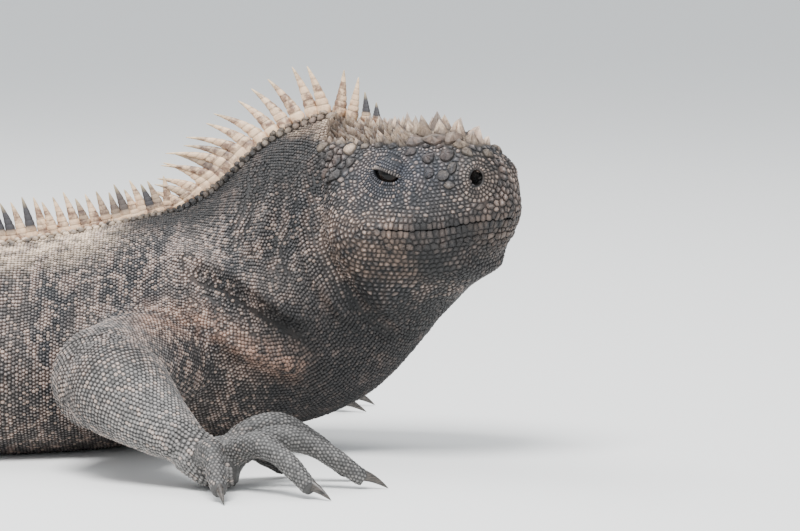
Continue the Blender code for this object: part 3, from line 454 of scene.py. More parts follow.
# Digits from the inner one out: base ahead of and beside the wrist, heading, length and arch height
HAND_DIGITS = (
    (9, -8.5, 36, 28, 12),
    (15, -6.0, 17, 40, 22),
    (18, -1.0, -2, 41, 18),
    (16, 5.0, -36, 34, 17),
    (9, 8.5, -76, 25, 15),
)
FOOT_DIGITS = (
    (22, -9.0, 36, 25, 9),
    (29, -6.5, 17, 36, 12),
    (33, -1.5, 3, 50, 13),
    (32, 4.5, -9, 60, 13),
    (16, 9.0, -52, 42, 10),
)


def limb_rows(rows, side, steps, grow=-COAT_DEPTH):
    """Rows of a limb's length with rounded ends."""
    rows = [(x, y * side, z, wide + grow, tall + grow) for x, y, z, wide, tall in rows]
    course, ends = smooth_course(rows)
    run = list(course(np.linspace(0, ends[-1], steps)))
    capped = []
    for end, before, flip in ((run[0], run[1], True), (run[-1], run[-2], False)):
        out = (end[:3] - before[:3]) / np.linalg.norm(end[:3] - before[:3])
        cap = []
        for turn in (0.25, 0.5, 0.75, 0.95):
            reach, narrow = math.sin(turn * math.pi / 2), max(math.cos(turn * math.pi / 2), 0.15)
            cap.append((*(end[:3] + out * end[3] * reach), *(end[3:] * narrow)))
        capped.append(cap[::-1] if flip else cap)
    return capped[0] + run + capped[1]


CUFF = ((0.7, 0.93), (1.3, 0.84), (1.7, 0.72))  # how the skin closes round a claw: reach and narrowing


def unit(vectors):
    return vectors / np.maximum(np.linalg.norm(vectors, axis=-1, keepdims=True), 1e-9)


def digit_rows(base, heading, length, arch, start_height=6.5, steps=26):
    """Rows of a digit: up from the palm over its joints, down to where the claw starts, and the cuff there."""
    way = np.array([math.cos(heading), math.sin(heading), 0])
    run = []
    for t in np.linspace(-0.25, 1, steps):
        share = max(t, 0.0)
        rise = math.sin(math.pi * min(1.0, share * 0.92 + 0.08) ** 0.85)
        height = start_height * (1 - share) + 4.0 * share + (arch - start_height * 0.5) * rise * 0.75
        joint = 0.16 * math.exp(-(((share - 0.45) / 0.12) ** 2)) + 0.1 * math.exp(-(((share - 0.8) / 0.08) ** 2))
        thick = (4.6 - 1.7 * share) * (1 + joint) - COAT_DEPTH * 0.5
        run.append((*(np.array(base) + way * length * t + np.array([0, 0, height])), thick, thick * 1.02))
    ahead = unit(np.array(run[-1][:3]) - np.array(run[-2][:3]))
    for reach, narrow in CUFF:
        run.append((*(np.array(run[steps - 1][:3]) + ahead * reach), thick * narrow, thick * 1.02 * narrow))
    return run


limb_parts = []
digit_ends = []  # paw, number and rows of each digit, for the claws and the scales
limb_lengths = []  # limb and rows of each length, for the scales
for limb_name, (side, upper, lower, wrist, heading) in LIMBS.items():
    limb_lengths.append((limb_name, limb_rows(upper, side, 30)))
    limb_lengths.append((limb_name, limb_rows(lower, side, 30)))
    limb_parts.append(tube("upper", limb_lengths[-2][1], 56))
    limb_parts.append(tube("lower", limb_lengths[-1][1], 56))
    arm = "arm" in limb_name
    at = np.array([wrist[0], wrist[1] * side, 0.0])
    turn = math.radians(heading) * side
    ahead = np.array([math.cos(turn), math.sin(turn), 0])
    outer = np.array([math.sin(turn), -math.cos(turn), 0]) * side
    pad = []
    for share, wide, tall in ((-0.2, 6, 5.5), (0.1, 9, 7.5), (0.45, 12, 7.5), (0.85, 13, 6.5), (1.1, 10.5, 5.0)):
        height = wrist[2] + (6.5 - wrist[2]) * min(1.0, max(0.0, share) * 1.5)
        place = at + ahead * (17 if arm else 30) * share + UP * height
        pad.append((*place, wide - COAT_DEPTH, tall - COAT_DEPTH))
    course, ends = smooth_course(pad)
    limb_lengths.append((limb_name + "_pad", list(course(np.linspace(0, ends[-1], 22)))))
    limb_parts.append(tube("pad", limb_lengths[-1][1], 32))
    for number, (forward_at, outer_at, angle, length, arch) in enumerate(HAND_DIGITS if arm else FOOT_DIGITS, 1):
        base = at + ahead * forward_at + outer * outer_at
        run = digit_rows(base, turn + math.radians(angle) * side, length, arch)
        name = limb_name.replace("arm", "hand").replace("leg", "foot")
        digit_ends.append((name, number, run))
        limb_parts.append(tube("digit", run, 18))
boolean(skin, "UNION", limb_parts)


def edge_arrays(mesh):
    points = np.empty(len(mesh.vertices) * 3, np.float32)
    mesh.vertices.foreach_get("co", points)
    edges = np.empty(len(mesh.edges) * 2, np.int32)
    mesh.edges.foreach_get("vertices", edges)
    return points.reshape(-1, 3).astype(float) / MM, edges.reshape(-1, 2)


def creased(mesh, least=0.45):
    """The points of edges where the surface folds inwards sharply."""
    shape = bmesh.new()
    shape.from_mesh(mesh)
    found = []
    for edge in shape.edges:
        if len(edge.link_faces) == 2 and edge.calc_face_angle_signed(0) < -least:
            found.append((edge.verts[0].co + edge.verts[1].co) / 2)
    shape.free()
    return np.array(found) / MM


def relax(made, reach_at, rounds=40):
    """Smooths the mesh round its creases, over the reach that reach_at gives for each crease point."""
    creases = creased(made.data)
    reach = reach_at(creases)
    tree = KDTree(len(creases))
    for i, place in enumerate(creases):
        tree.insert(place, i)
    tree.balance()
    points, edges = edge_arrays(made.data)
    weight = np.zeros(len(points))
    for i, place in enumerate(points):
        _, nearest, away = tree.find(place)
        weight[i] = max(0.0, 1 - away / reach[nearest])
    moving = weight > 0
    weight = np.clip(weight * 1.6, 0, 1)[:, None] * 0.6
    degree = np.bincount(edges.ravel(), minlength=len(points))[:, None]
    near = moving[edges[:, 0]] | moving[edges[:, 1]]
    a, b = edges[near].T
    for _ in range(rounds):
        total = np.zeros_like(points)
        for axis in range(3):
            total[:, axis] = np.bincount(a, points[b, axis], len(points))
            total[:, axis] += np.bincount(b, points[a, axis], len(points))
        points[moving] += ((total / degree - points) * weight)[moving]
    points[:, 2] = np.maximum(points[:, 2], COAT_DEPTH)
    made.data.vertices.foreach_set("co", (points * MM).ravel())
    made.data.update()


def limb_reach(places):
    """How far round a crease the skin is smoothed: wide at a limb's root, narrow between the digits."""
    out = np.abs(places[:, 1])
    return np.where(out < 62, 7.0, np.where(out < 98, 4.0, 2.2))


relax(skin, limb_reach)

# Openings in the skin: lids over the eyes, the eyes' sockets, the nostrils, the ears and the line of the mouth.
# On the animal these are all one skin, drawn thin over the eye and thick round the nostril.

EYE_RADIUS, EYE_SIDE = 5.6, 17.9
LID_OPENING = (10.6, 4.8)
LID_TILT = -0.24
EAR_AT, EAR_CUP = (-22.0, -4.0), (1.8, 1.4, 3.4)


def surface_tree(made):
    points, _ = edge_arrays(made.data)
    return BVHTree.FromPolygons(points.tolist(), [tuple(face.vertices) for face in made.data.polygons])


def turned_point(centre, f, out, u, turn):
    """World points from a centre on one side of the head, out being outwards, turned forwards by turn degrees."""
    side, turn = math.copysign(1, centre[1]), math.radians(turn)
    along = centre[0] + f * math.cos(turn) + out * math.sin(turn)
    right = centre[1] + side * (out * math.cos(turn) - f * math.sin(turn))
    return head_point(along, right, centre[2] + u)


def head_ball(name, centre, radii, turn=0.0, sides=44, levels=26):
    level = (math.pi * np.arange(1, levels) / levels)[:, None]
    angle = ring_angles(sides)[None]
    f, u = np.sin(level) * np.cos(angle) * radii[0], np.sin(level) * np.sin(angle) * radii[2]
    rings = turned_point(centre, f, np.cos(level) * radii[1] + 0 * f, u, turn)
    ends = [turned_point(centre, 0.0, out, 0.0, turn) for out in (radii[1], -radii[1])]
    return loft(name, rings, tip=ends[1], start_tip=ends[0])


def head_prism(name, outline, reaches, turn, centre):
    """A closed prism whose outline is given along f and u, with a reach outwards and a swelling for each ring."""
    outline = np.array(outline)
    across, tall = outline.T
    return loft(name, [turned_point(centre, across * swell, reach, tall * swell, turn) for reach, swell in reaches])


def lid_outline(grow=0.0, count=44):
    """Points round the opening between the lids, with a flat top and a fuller lower edge."""
    a = ring_angles(count)
    width, height = LID_OPENING[0] / 2 + grow, LID_OPENING[1] / 2 + grow
    f = np.cos(a) * width
    u = np.sin(a) * np.where(np.sin(a) > 0, height * 0.62 + grow * 0.38, height)
    return np.stack([f, u + LID_TILT * f], 1)


def mouth_loop(tree, offset, turns=np.radians(np.linspace(-121, 121, 180))):
    """Points and normals on the skin along the mouth, from the left corner round the snout to the right."""
    found = []
    for turn in turns:
        f = 15.0
        for _ in range(3):
            middle = head_point(15.0, 0, mouth_level(f) + offset)
            way = HEAD_FORWARD * math.cos(turn) + HEAD_ASIDE * math.sin(turn)
            place, normal, _, _ = tree.ray_cast(Vector(middle + way * 60), Vector(-way))
            f = float(head_local(np.array(place))[0])
        found.append((np.array(place), np.array(normal), way))
    return found


tree = surface_tree(skin)
balls = [head_ball("lids", (0, side * EYE_SIDE, 0), (6.4, 6.4, 6.4)) for side in (-1, 1)]
boolean(skin, "UNION", balls)
cuts = []
for side in (-1, 1):
    eye = (0, side * EYE_SIDE, 0)
    cuts.append(head_ball("socket", eye, (EYE_RADIUS + 0.08,) * 3, sides=64, levels=40))
    cuts.append(head_prism("lid_gap", lid_outline(), ((2.5, 0.9), (5.4, 0.97), (6.0, 1.03), (9.0, 1.3)), 0, eye))
    nostril = (NOSTRIL_AT[0], side * NOSTRIL_AT[1], NOSTRIL_AT[2])
    hole = [(math.cos(a) * 2.2, math.sin(a) * 2.9) for a in ring_angles(28)]
    hole_reaches = ((-4.2, 0.3), (-3.4, 0.75), (-1.5, 0.9), (1.0, 0.97), (2.2, 1.15), (6.0, 1.3))
    cuts.append(head_prism("nostril_hole", hole, hole_reaches, NOSTRIL_TURN, nostril))
    place, _, _, _ = tree.ray_cast(Vector(head_point(EAR_AT[0], side * 60, EAR_AT[1])), Vector(-HEAD_ASIDE * side))
    cuts.append(head_ball("ear", head_local(np.array(place)), EAR_CUP, -8.0))
mouth_rings = []
for i, (place, normal, way) in enumerate(mouth_loop(tree, 0.0)):
    open_share = min(1.0, 0.15 + min(i, 179 - i) / 14)
    gape = 0.34 * open_share * UP
    front, deep = place + way * 2.5, place - way * 1.9 * open_share
    mouth_rings.append((front + gape * 2, front - gape * 2, deep - gape * 0.3, deep + gape * 0.3))
cuts.append(loft("mouth_line", mouth_rings))
boolean(skin, "DIFFERENCE", cuts)
tree = surface_tree(skin)

# The scales: small keeled beads of dry horn in rings round the body, tail and limbs, packed in staggered rows. Each
# grows from the skin and points towards the tail or the limb's end.

rng = np.random.default_rng(7)


def triangle_mesh(name, points, triangles, smooth=False):
    mesh = bpy.data.meshes.new(name)
    mesh.vertices.add(len(points))
    mesh.vertices.foreach_set("co", (points * MM).astype(np.float32).ravel())
    mesh.loops.add(len(triangles) * 3)
    mesh.loops.foreach_set("vertex_index", triangles.astype(np.int32).ravel())
    mesh.polygons.add(len(triangles))
    mesh.polygons.foreach_set("loop_start", np.arange(0, len(triangles) * 3, 3, dtype=np.int32))
    mesh.update(calc_edges=True)
    mesh.polygons.foreach_set("use_smooth", np.full(len(triangles), smooth))
    made = bpy.data.objects.new(name, mesh)
    bpy.context.scene.collection.objects.link(made)
    return made


def ring_fans(rings, sides):
    """Triangles between rings of points, each ring above the last, and from the last ring to an apex."""
    found = []
    for level in range(rings - 1):
        for i in range(sides):
            j, low, high = (i + 1) % sides, level * sides, level * sides + sides
            found += [(low + i, low + j, high + j), (low + i, high + j, high + i)]
    top = (rings - 1) * sides
    return np.array(found + [(top + i, top + (i + 1) % sides, top + sides) for i in range(sides)])


PATCH = 0.0013  # half the size of a scale's patch on the map


def lay_patches(mesh, patches, triangles):
    """Gives the mesh its map, where each scale is a small patch at the place of its root."""
    bake = mesh.uv_layers.new(name="OFBake")
    bake.data.foreach_set("uv", patches[triangles.ravel()].astype(np.float32).ravel())


def put(mesh, name, values):
    mesh.attributes.new(name, "FLOAT", "POINT").data.foreach_set("value", np.asarray(values, np.float32).ravel())


def markings(points):
    """Where each colour of the coat lies: the pale back and crown, the dark nape and lips, the bluish lids, the tan
    jowls and crown, the rusty shoulder fold and the grey hands and feet, from 0 to 1 at every point. The dark mask
    also holds painted shade over the neck, under the chin and throat and in the nostrils."""
    x, y, z = points.T
    f, right, u = head_local(points)
    out = np.abs(right)
    on_head = soft(x + 0.35 * z, 205, 213) * soft(z, 60, 66)
    behind = np.minimum(x, 0)
    back = (1 - soft(np.abs(y), 10, 30)) * (1 - soft(x, 96, 126)) * soft(z, 30 + 0.08 * behind, 52 + 0.1 * behind)
    back = back * soft(x, -280, -110)
    tail_top = (1 - soft(x, -135, -105)) * 0.45 * soft(z, 12, 40)
    crown = on_head * soft(u, 8.5, 12.0) * (1 - 0.7 * soft(f, 0, 10) * soft(out, 7, 11))
    nape_off = np.abs(y + 0.28 * np.maximum(x - 130, 0))
    lips = on_head * soft(f, -2, 6) * np.exp(-(((u - mouth_level(f) + 1.0) / 4.2) ** 2))
    # Painted shade under the chin and along the lower neck.
    painted_throat_shade = soft(x, 150, 185) * (1 - soft(z, 44, 66)) + on_head * soft(-u, 19, 25) * soft(f, -22, 2)
    # Painted shade in the nostril openings.
    from_hole = np.hypot(f - NOSTRIL_AT[0], out - NOSTRIL_AT[1]) + np.abs(u - NOSTRIL_AT[2]) * 0.6
    painted_nostril_shade = on_head * (1 - soft(from_hole, 2.2, 3.4))
    # Painted shade over the neck and head, except on the crown and jowls.
    shaded = 0.5 * soft(x, 130, 165) * (1 - crown) * (1 - on_head * soft(-u, 3, 9) * (1 - soft(f, 4, 14)))
    nape = soft(x, 104, 122) * (1 - soft(x, 178, 190)) * (1 - soft(nape_off, 12, 22)) * soft(z, 62, 76)
    jowl = 0.6 * soft(-u, 8, 18) * (1 - soft(f, 8, 16))
    seen = np.stack([x, z], 1)
    return {
        "pale": np.clip(np.maximum(back, tail_top) + crown, 0, 1),
        "dark_and_painted_shade": np.clip(np.maximum(nape, shaded) + 0.75 * lips + 0.85 * painted_throat_shade + painted_nostril_shade, 0, 1),
        "blue": 0.8 * on_head * np.exp(-(((f - 4) / 17) ** 2) - ((u - 1) / 8.5) ** 2) * soft(out, 9, 13),
        "tan": on_head * np.clip(jowl + 0.3 * soft(f, 26, 33) + 0.7 * soft(u, 9, 12), 0, 1),
        "rust": np.exp(-((line_away(seen, RUSTY_FOLD) / 5.0) ** 2)) * soft(np.abs(y), 20, 28),
        "paw": 0.35 * soft(np.abs(y), 58, 72) + 0.65 * soft(np.abs(y), 94, 108),
    }


def carry_markings(mesh, points):
    for name, values in markings(points).items():
        put(mesh, name, values)


def trunk_rows(first, last, pitch, sample=180):
    """Evenly packed places of the trunk's scales as distances and angles, with the pitch at each."""
    stops = [first]
    while stops[-1] < last:
        stops.append(stops[-1] + 0.88 * pitch(stops[-1]))
    stops = np.array(stops[:-1])
    around = np.linspace(0, 2 * math.pi, sample + 1)
    grid_s, grid_a = np.meshgrid(stops, around, indexing="ij")
    places = trunk_point(grid_s.ravel(), grid_a.ravel(), -COAT_DEPTH).reshape(len(stops), sample + 1, 3)
    step = np.linalg.norm(np.diff(places, axis=1), axis=2)
    found = []
    for i, s in enumerate(stops):
        run = np.concatenate([[0], np.cumsum(step[i])])
        count = max(4, int(run[-1] / pitch(s)))
        at = (np.arange(count) + 0.5 * (i % 2)) / count * run[-1]
        at += rng.normal(0, 0.07 * pitch(s), count)
        angle = np.interp(at % run[-1], run, around)
        along = np.full(count, s) + rng.normal(0, 0.06 * pitch(s), count)
        found.append(np.stack([along, angle, np.full(count, pitch(s))], 1))
    return np.vstack(found)


def seated(places, lie, reach, upright=None, facing=0.35):
    """Puts places on the skin. Gives places, lies, asides and normals where the skin is near, which and how far."""
    kept, on_skin, normals = [], [], []
    for i, place in enumerate(places):
        hit, normal, _, away = tree.find_nearest(place, reach)
        if hit is None or (upright is not None and np.dot(normal, upright[i]) < facing):
            continue
        kept.append(i)
        on_skin.append((*hit, away))
        normals.append(tuple(normal))
    kept, on_skin, normals = np.array(kept), np.array(on_skin), np.array(normals)
    lie = unit(lie[kept] - normals * np.sum(lie[kept] * normals, 1, keepdims=True))
    return on_skin[:, :3], lie, np.cross(normals, lie), normals, kept, on_skin[:, 3]


def bead_mesh(name, coat, levels):
    """Beads with six sides. levels hold radius, height and shift towards the tip, up to the apex of radius 0."""
    place, lie, aside, normal = coat["place"], coat["lie"], coat["aside"], coat["normal"]
    half, tall = coat["pitch"][:, None] * 0.58, coat["tall"][:, None]
    count = len(place)
    points, tips, local = [], [], []
    for radius, height, shift in levels:
        angles = ring_angles(6) + math.pi / 6 if radius else [0.0]
        for a in angles:
            fore, across = math.cos(a) * radius * 1.12 + shift, math.sin(a) * radius
            points.append(place + lie * fore * half + aside * across * half + normal * height * tall)
            tips.append(np.full(count, max(0.0, height)))
            local.append((fore, across))
    per = len(points)
    points = np.stack(points, 1).reshape(-1, 3)
    points[:, 2] = np.maximum(points[:, 2], 0.02)
    triangles = (np.arange(count)[:, None, None] * per + ring_fans(len(levels) - 1, 6)[None]).reshape(-1, 3)
    made = triangle_mesh(name, points, triangles)
    put(made.data, "tip", np.stack(tips, 1))
    put(made.data, "tint", np.repeat(rng.random(count), per))
    carry_markings(made.data, np.repeat(place, per, 0))
    patches = coat["root"][:, None] + np.array(local)[None] * PATCH
    lay_patches(made.data, patches.reshape(-1, 2), triangles)
    return made


BEAD = ((1.0, -0.35, 0.0), (0.74, 0.55, 0.04), (0.0, 1.0, 0.22))
FLAT_BEAD = ((1.0, -0.3, 0.0), (0.0, 0.9, 0.15))


def spread(values):
    return (values - values.min()) / max(values.max() - values.min(), 1e-6) * 0.98 + 0.01


def coat_of(places, lie, upright, pitch, root, tall, reach=3.0):
    place, lie, aside, normal, kept, away = seated(places, lie, reach, upright)
    varied = pitch[kept] * rng.uniform(0.9, 1.08, len(kept))
    return {
        "place": place, "lie": lie, "aside": aside, "normal": normal, "pitch": varied, "away": away,
        "tall": varied * tall * rng.uniform(0.75, 1.25, len(kept)), "root": root[kept],
    }


def trunk_pitch(s):
    """Millimetres from scale to scale, finest on the shoulders."""
    knots_s = (0, BODY_START - 30, BODY_START + 60, NECK_START - 75, NECK_START - 55, NECK_START, HEAD_START)
    return float(np.interp(s, knots_s, (2.2, 2.9, 1.95, 1.7, 1.28, 1.3, 1.4)))


rows = trunk_rows(6.0, HEAD_START - 0.4, trunk_pitch)
places = trunk_point(rows[:, 0], rows[:, 1], -COAT_DEPTH)
ahead = trunk_point(rows[:, 0] + 0.5, rows[:, 1], -COAT_DEPTH)
beside = trunk_point(rows[:, 0], rows[:, 1] + 0.01, -COAT_DEPTH)
upright = unit(np.cross(beside - places, ahead - places))
midline = np.abs((rows[:, 1] + math.pi) % (2 * math.pi) - math.pi) * trunk_at(rows[:, 0])[:, 5]
bare = np.where(rows[:, 0] > NECK_START, 5.6, np.where(rows[:, 0] > BODY_START, 4.3, 1.3))  # for the crest's blocks
free = (midline > bare) & ~((places[:, 2] < 1.0) & (upright[:, 2] < -0.8))
root = np.stack([rows[:, 0], rows[:, 1]], 1)
trunk_coat = coat_of(places[free], -(ahead - places)[free], upright[free], rows[free, 2], root[free], 0.38)



def frame_at(run, profile, at):
    """The row of a limb or digit at a distance, with the ways along, aside and up there."""
    row, before, after = (np.array([np.interp(s, profile, run[:, k]) for k in range(5)]) for s in (
        at, at - 1, at + 1,
    ))
    way = unit((after - before)[:3])
    aside = unit(np.cross(way, UP))
    return row, way, aside, np.cross(aside, way)


limb_coats = []
for number, (limb_name, limb) in enumerate(limb_lengths):
    limb = np.array(limb)
    profile = run_length(limb[:, :4])
    pitch = 1.45 if limb_name.startswith("right_arm") else 1.75
    pitch *= 1.1 if limb_name.endswith("pad") else 1.0
    found = []
    for i, at in enumerate(np.arange(1.0, profile[-1] - 1.0, 0.88 * pitch)):
        row, way, aside, up = frame_at(limb, profile, at)
        count = max(4, int(math.pi * (row[3] + row[4]) / pitch))
        a = (np.arange(count) + 0.5 * (i % 2)) / count * 2 * math.pi + rng.normal(0, 0.05 * pitch / row[3], count)
        normal = unit(aside * (np.sin(a) / row[3])[:, None] + up * (np.cos(a) / row[4])[:, None])
        place = row[:3] + aside * (np.sin(a) * row[3])[:, None] + up * (np.cos(a) * row[4])[:, None]
        found.append(np.hstack([place, np.repeat(way[None], count, 0), normal, np.stack([np.full(count, at), a], 1)]))
    found = np.vstack(found)
    root = np.stack([found[:, 9] + 200 * (number % 3), found[:, 10]], 1)
    coat = coat_of(found[:, :3], found[:, 3:6], found[:, 6:9], np.full(len(found), pitch), root, 0.34, 2.5)
    limb_coats.append((limb_name, coat))


def joined(coats):
    return {key: np.concatenate([coat[key] for coat in coats]) for key in coats[0]}


def picked(coat, which):
    return {key: values[which] for key, values in coat.items()}


def thinned(coats, least=0.72):
    """Drops scales that crowd others where two rows of rings meet, and keeps those that moved least."""
    owner = np.concatenate([np.full(len(coat["place"]), i) for i, coat in enumerate(coats)])
    whole = joined(coats)
    sure = whole["away"] < 0.2
    keep = sure.copy()
    kept_tree = KDTree(int(sure.sum()))
    for i in np.flatnonzero(sure):
        kept_tree.insert(whole["place"][i], i)
    kept_tree.balance()
    cells = {}
    for i in np.flatnonzero(~sure)[np.argsort(whole["away"][~sure])]:
        place, room = whole["place"][i], whole["pitch"][i] * least
        if kept_tree.find(place)[2] < room:
            continue
        cell = tuple((place // 3.0).astype(int))
        near = [o for dx in (-1, 0, 1) for dy in (-1, 0, 1) for dz in (-1, 0, 1)
                for o in cells.get((cell[0] + dx, cell[1] + dy, cell[2] + dz), ())]
        if all(np.linalg.norm(whole["place"][o] - place) >= room for o in near):
            cells.setdefault(cell, []).append(i)
            keep[i] = True
    return [picked(whole, keep & (owner == i)) for i in range(len(coats))]


for name, number, run in digit_ends:
    run = np.array(run)
    stops = np.arange(1.2, np.linalg.norm(run[-1, :3] - run[0, :3]) * 1.08, 1.1)
    profile = run_length(run[:, :3])
    found = []
    for i, at in enumerate(stops[stops < profile[-1] - 0.1]):
        row, way, aside, up = frame_at(run, profile, at)
        count = max(6, int(math.pi * 2 * row[3] / 1.3))
        a = (np.arange(count) + 0.5 * (i % 2)) / count * 2 * math.pi
        normal = aside * np.sin(a)[:, None] + up * np.cos(a)[:, None]
        place = row[:3] + normal * row[3]
        found.append(np.hstack([place, np.repeat(way[None], count, 0), normal, np.stack([np.full(count, at), a], 1)]))
    found = np.vstack(found)
    root = np.stack([found[:, 9] + 100 * number, found[:, 10]], 1)
    pitch = np.full(len(found), 1.35)
    limb_coats.append((name, coat_of(found[:, :3], found[:, 3:6], found[:, 6:9], pitch, root, 0.16, 1.5)))

coats = thinned([trunk_coat] + [coat for _, coat in limb_coats])
trunk_coat = coats[0]


def reach_uv(coat):
    """Spreads the roots' places over the whole of the piece's map."""
    coat["root"] = np.stack([spread(coat["root"][:, 0]), spread(coat["root"][:, 1])], 1)
    return coat


trunk_s, trunk_side = trunk_coat["root"][:, 0].copy(), trunk_coat["root"][:, 1] < math.pi
regions = (
    ("tail_scales", 0.0, BODY_START, None),
    ("back_scales_right", BODY_START, NECK_START - 40, True),
    ("back_scales_left", BODY_START, NECK_START - 40, False),
    ("neck_scales_right", NECK_START - 40, HEAD_END, True),
    ("neck_scales_left", NECK_START - 40, HEAD_END, False),
)
coat_pieces = []
for name, low, high, right_side in regions:
    within = (trunk_s >= low) & (trunk_s < high)
    within &= True if right_side is None else trunk_side == right_side
    coat_pieces.append(bead_mesh(name, reach_uv(picked(trunk_coat, within)), BEAD))
by_limb = {}
for (name, _), coat in zip(limb_coats, coats[1:]):
    limb = name.replace("_pad", "").replace("hand", "arm").replace("foot", "leg")
    fine = "hand" not in name and "foot" not in name
    by_limb.setdefault((limb, fine), []).append(coat)
for (limb, fine), parts in by_limb.items():
    name = f"{limb}_scales" if fine else f"{limb}_digit_scales"
    coat_pieces.append(bead_mesh(name, reach_uv(joined(parts)), BEAD if fine else FLAT_BEAD))

# The head's scales: polygonal plates of horn that meet at narrow grooves. They are conical on the crown, flat on the
# nose, squarish along the lips, beaded round the lids and in rows on the face and jowls.

CROWN_SIZES = ((-36, -12, 0, 8, 18, 26, 32), (1.1, 1.25, 1.8, 2.5, 2.6, 2.1, 1.4))
CROWN_TALL = ((-36, -12, 4, 12, 20, 27), (2.6, 2.6, 2.3, 2.2, 2.0, 1.2))  # height to half width
# Large plates of the right side, which the left side repeats: f, right, u, half length, half width, height, how
# pointed, how pale
LARGE_PLATES = (
    (8.8, 1.2, 16.0, 3.2, 3.2, 6.4, 1.3, 1.0),
    (2.8, 2.0, 17.0, 1.9, 1.9, 5.0, 1.3, 1.0),
    (-2.3, 2.4, 17.5, 2.4, 2.4, 5.8, 1.3, 1.0),
    (15.8, 1.6, 14.0, 2.5, 2.5, 5.0, 1.3, 0.9),
    (21.6, 1.8, 11.5, 2.3, 2.3, 3.8, 1.2, 0.8),
    (-7.6, 3.0, 17.5, 1.7, 1.7, 4.2, 1.3, 1.0),
    (5.5, 13.3, 11.9, 3.1, 3.2, 2.0, 0.6, 0.1),
    (12.0, 10.7, 12.3, 3.3, 3.4, 2.2, 0.6, 0.15),
    (17.6, 6.7, 12.4, 3.1, 3.2, 2.2, 0.6, 0.4),
    (6.5, 16.6, 8.0, 2.3, 2.0, 1.3, 0.5, 0.1),
    (13.2, 16.0, 5.8, 2.9, 2.3, 1.8, 0.6, 0.15),
    (19.4, 13.4, 6.8, 3.1, 2.7, 1.9, 0.6, 0.15),
    (25.2, 9.2, 8.0, 2.8, 2.4, 1.6, 0.5, 0.4),
    (28.6, 2.6, 7.0, 2.4, 2.4, 1.5, 0.5, 0.3),
    (20.4, 17.4, 0.3, 2.3, 2.2, 0.9, 0.1, 0.45),
    (23.2, 15.8, 2.9, 2.0, 2.2, 0.9, 0.1, 0.4),
    (15.2, 18.4, 0.6, 2.4, 1.8, 1.0, 0.2, 0.1),
    (22.6, 17.5, -3.0, 2.4, 1.3, 0.8, 0.1, 0.3),
    (-18.0, 18.4, 8.0, 2.2, 3.2, 2.0, 0.8, 1.0),
    (-26.6, 17.8, 4.5, 2.1, 2.2, 1.3, 0.4, 0.0),
    (-21.6, 20.3, 3.8, 2.1, 2.2, 1.3, 0.4, 0.0),
    (-26.4, 20.1, -1.0, 2.3, 2.2, 1.2, 0.4, 0.0),
    (-20.4, 23.1, -1.4, 2.1, 2.0, 1.2, 0.4, 0.05),
    (-15.6, 20.6, 3.6, 1.7, 1.9, 1.1, 0.4, 0.1),
    (-12.6, 17.4, 9.4, 1.7, 1.7, 1.3, 0.6, 0.3),
    (-7.0, 17.0, 10.2, 1.7, 1.5, 1.2, 0.6, 0.2),
    (-1.2, 16.8, 10.0, 1.9, 1.6, 1.3, 0.6, 0.15),
    (-30.5, 16.4, 8.6, 1.9, 2.0, 1.6, 0.6, 0.5),
    (-24.0, 16.0, 9.6, 1.8, 1.8, 1.8, 0.8, 0.9),
)
seeds = []  # place, lie, normal, half length, half width, height, pointedness, paleness


def plant(start, way, lie, half_long, half_wide, tall, sharp, pale):
    """Adds a plate where a ray from start meets the skin."""
    place, normal, _, away = tree.ray_cast(Vector(start), Vector(way))
    if place is not None and away < 70:
        seeds.append((*place, *lie, *normal, half_long, half_wide, tall, sharp, pale))


for side in (1, -1):
    for f, right, u, half_long, half_wide, tall, sharp, pale in LARGE_PLATES:
        if side < 0 and right < 3:
            continue
        jitter = rng.normal(0, 0.35, 2) if side < 0 else (0, 0)
        aim = head_point(f - 4, side * right * 0.4, u - 5)
        from_out = head_point(f + jitter[0], side * right, u + jitter[1])
        out = unit(from_out - aim)
        plant(from_out + out * 25, -out, -HEAD_FORWARD, half_long, half_wide, tall, sharp, pale)


def loop_places(loop, spacing):
    """Every so many millimetres along a loop of points and normals: the point, the way along and the normal."""
    points = np.array([place for place, _, _ in loop])
    run = run_length(points)
    for at in np.arange(spacing / 2, run[-1], spacing):
        i = int(np.searchsorted(run, at)) - 1
        share = (at - run[i]) / max(run[i + 1] - run[i], 1e-6)
        yield points[i] * (1 - share) + points[i + 1] * share, unit(points[i + 1] - points[i]), loop[i][2]


# Rows along the lips: above the mouth's line, width, half height and how far they stand out
LIP_ROWS = (
    (1.5, 1.9, 1.1, 0.4), (-1.6, 2.0, 1.15, 0.4), (-5.3, 2.9, 1.3, 0.7), (3.4, 1.6, 0.85, 0.4), (-3.6, 1.9, 0.9, 0.4),
)
for offset, width, half_tall, tall in LIP_ROWS:
    for place, along, out in loop_places(mouth_loop(tree, offset), width):
        f, right, _ = head_local(place)
        if f > (MOUTH_CORNER + 1 if abs(offset) < 2 else 5):
            place = place + along * rng.normal(0, 0.14 * width) + UP * rng.normal(0, 0.22)
            plant(place + out * 6, -out, along, width * 0.5, half_tall, tall * rng.uniform(0.6, 1.3), 0.15, 0.0)
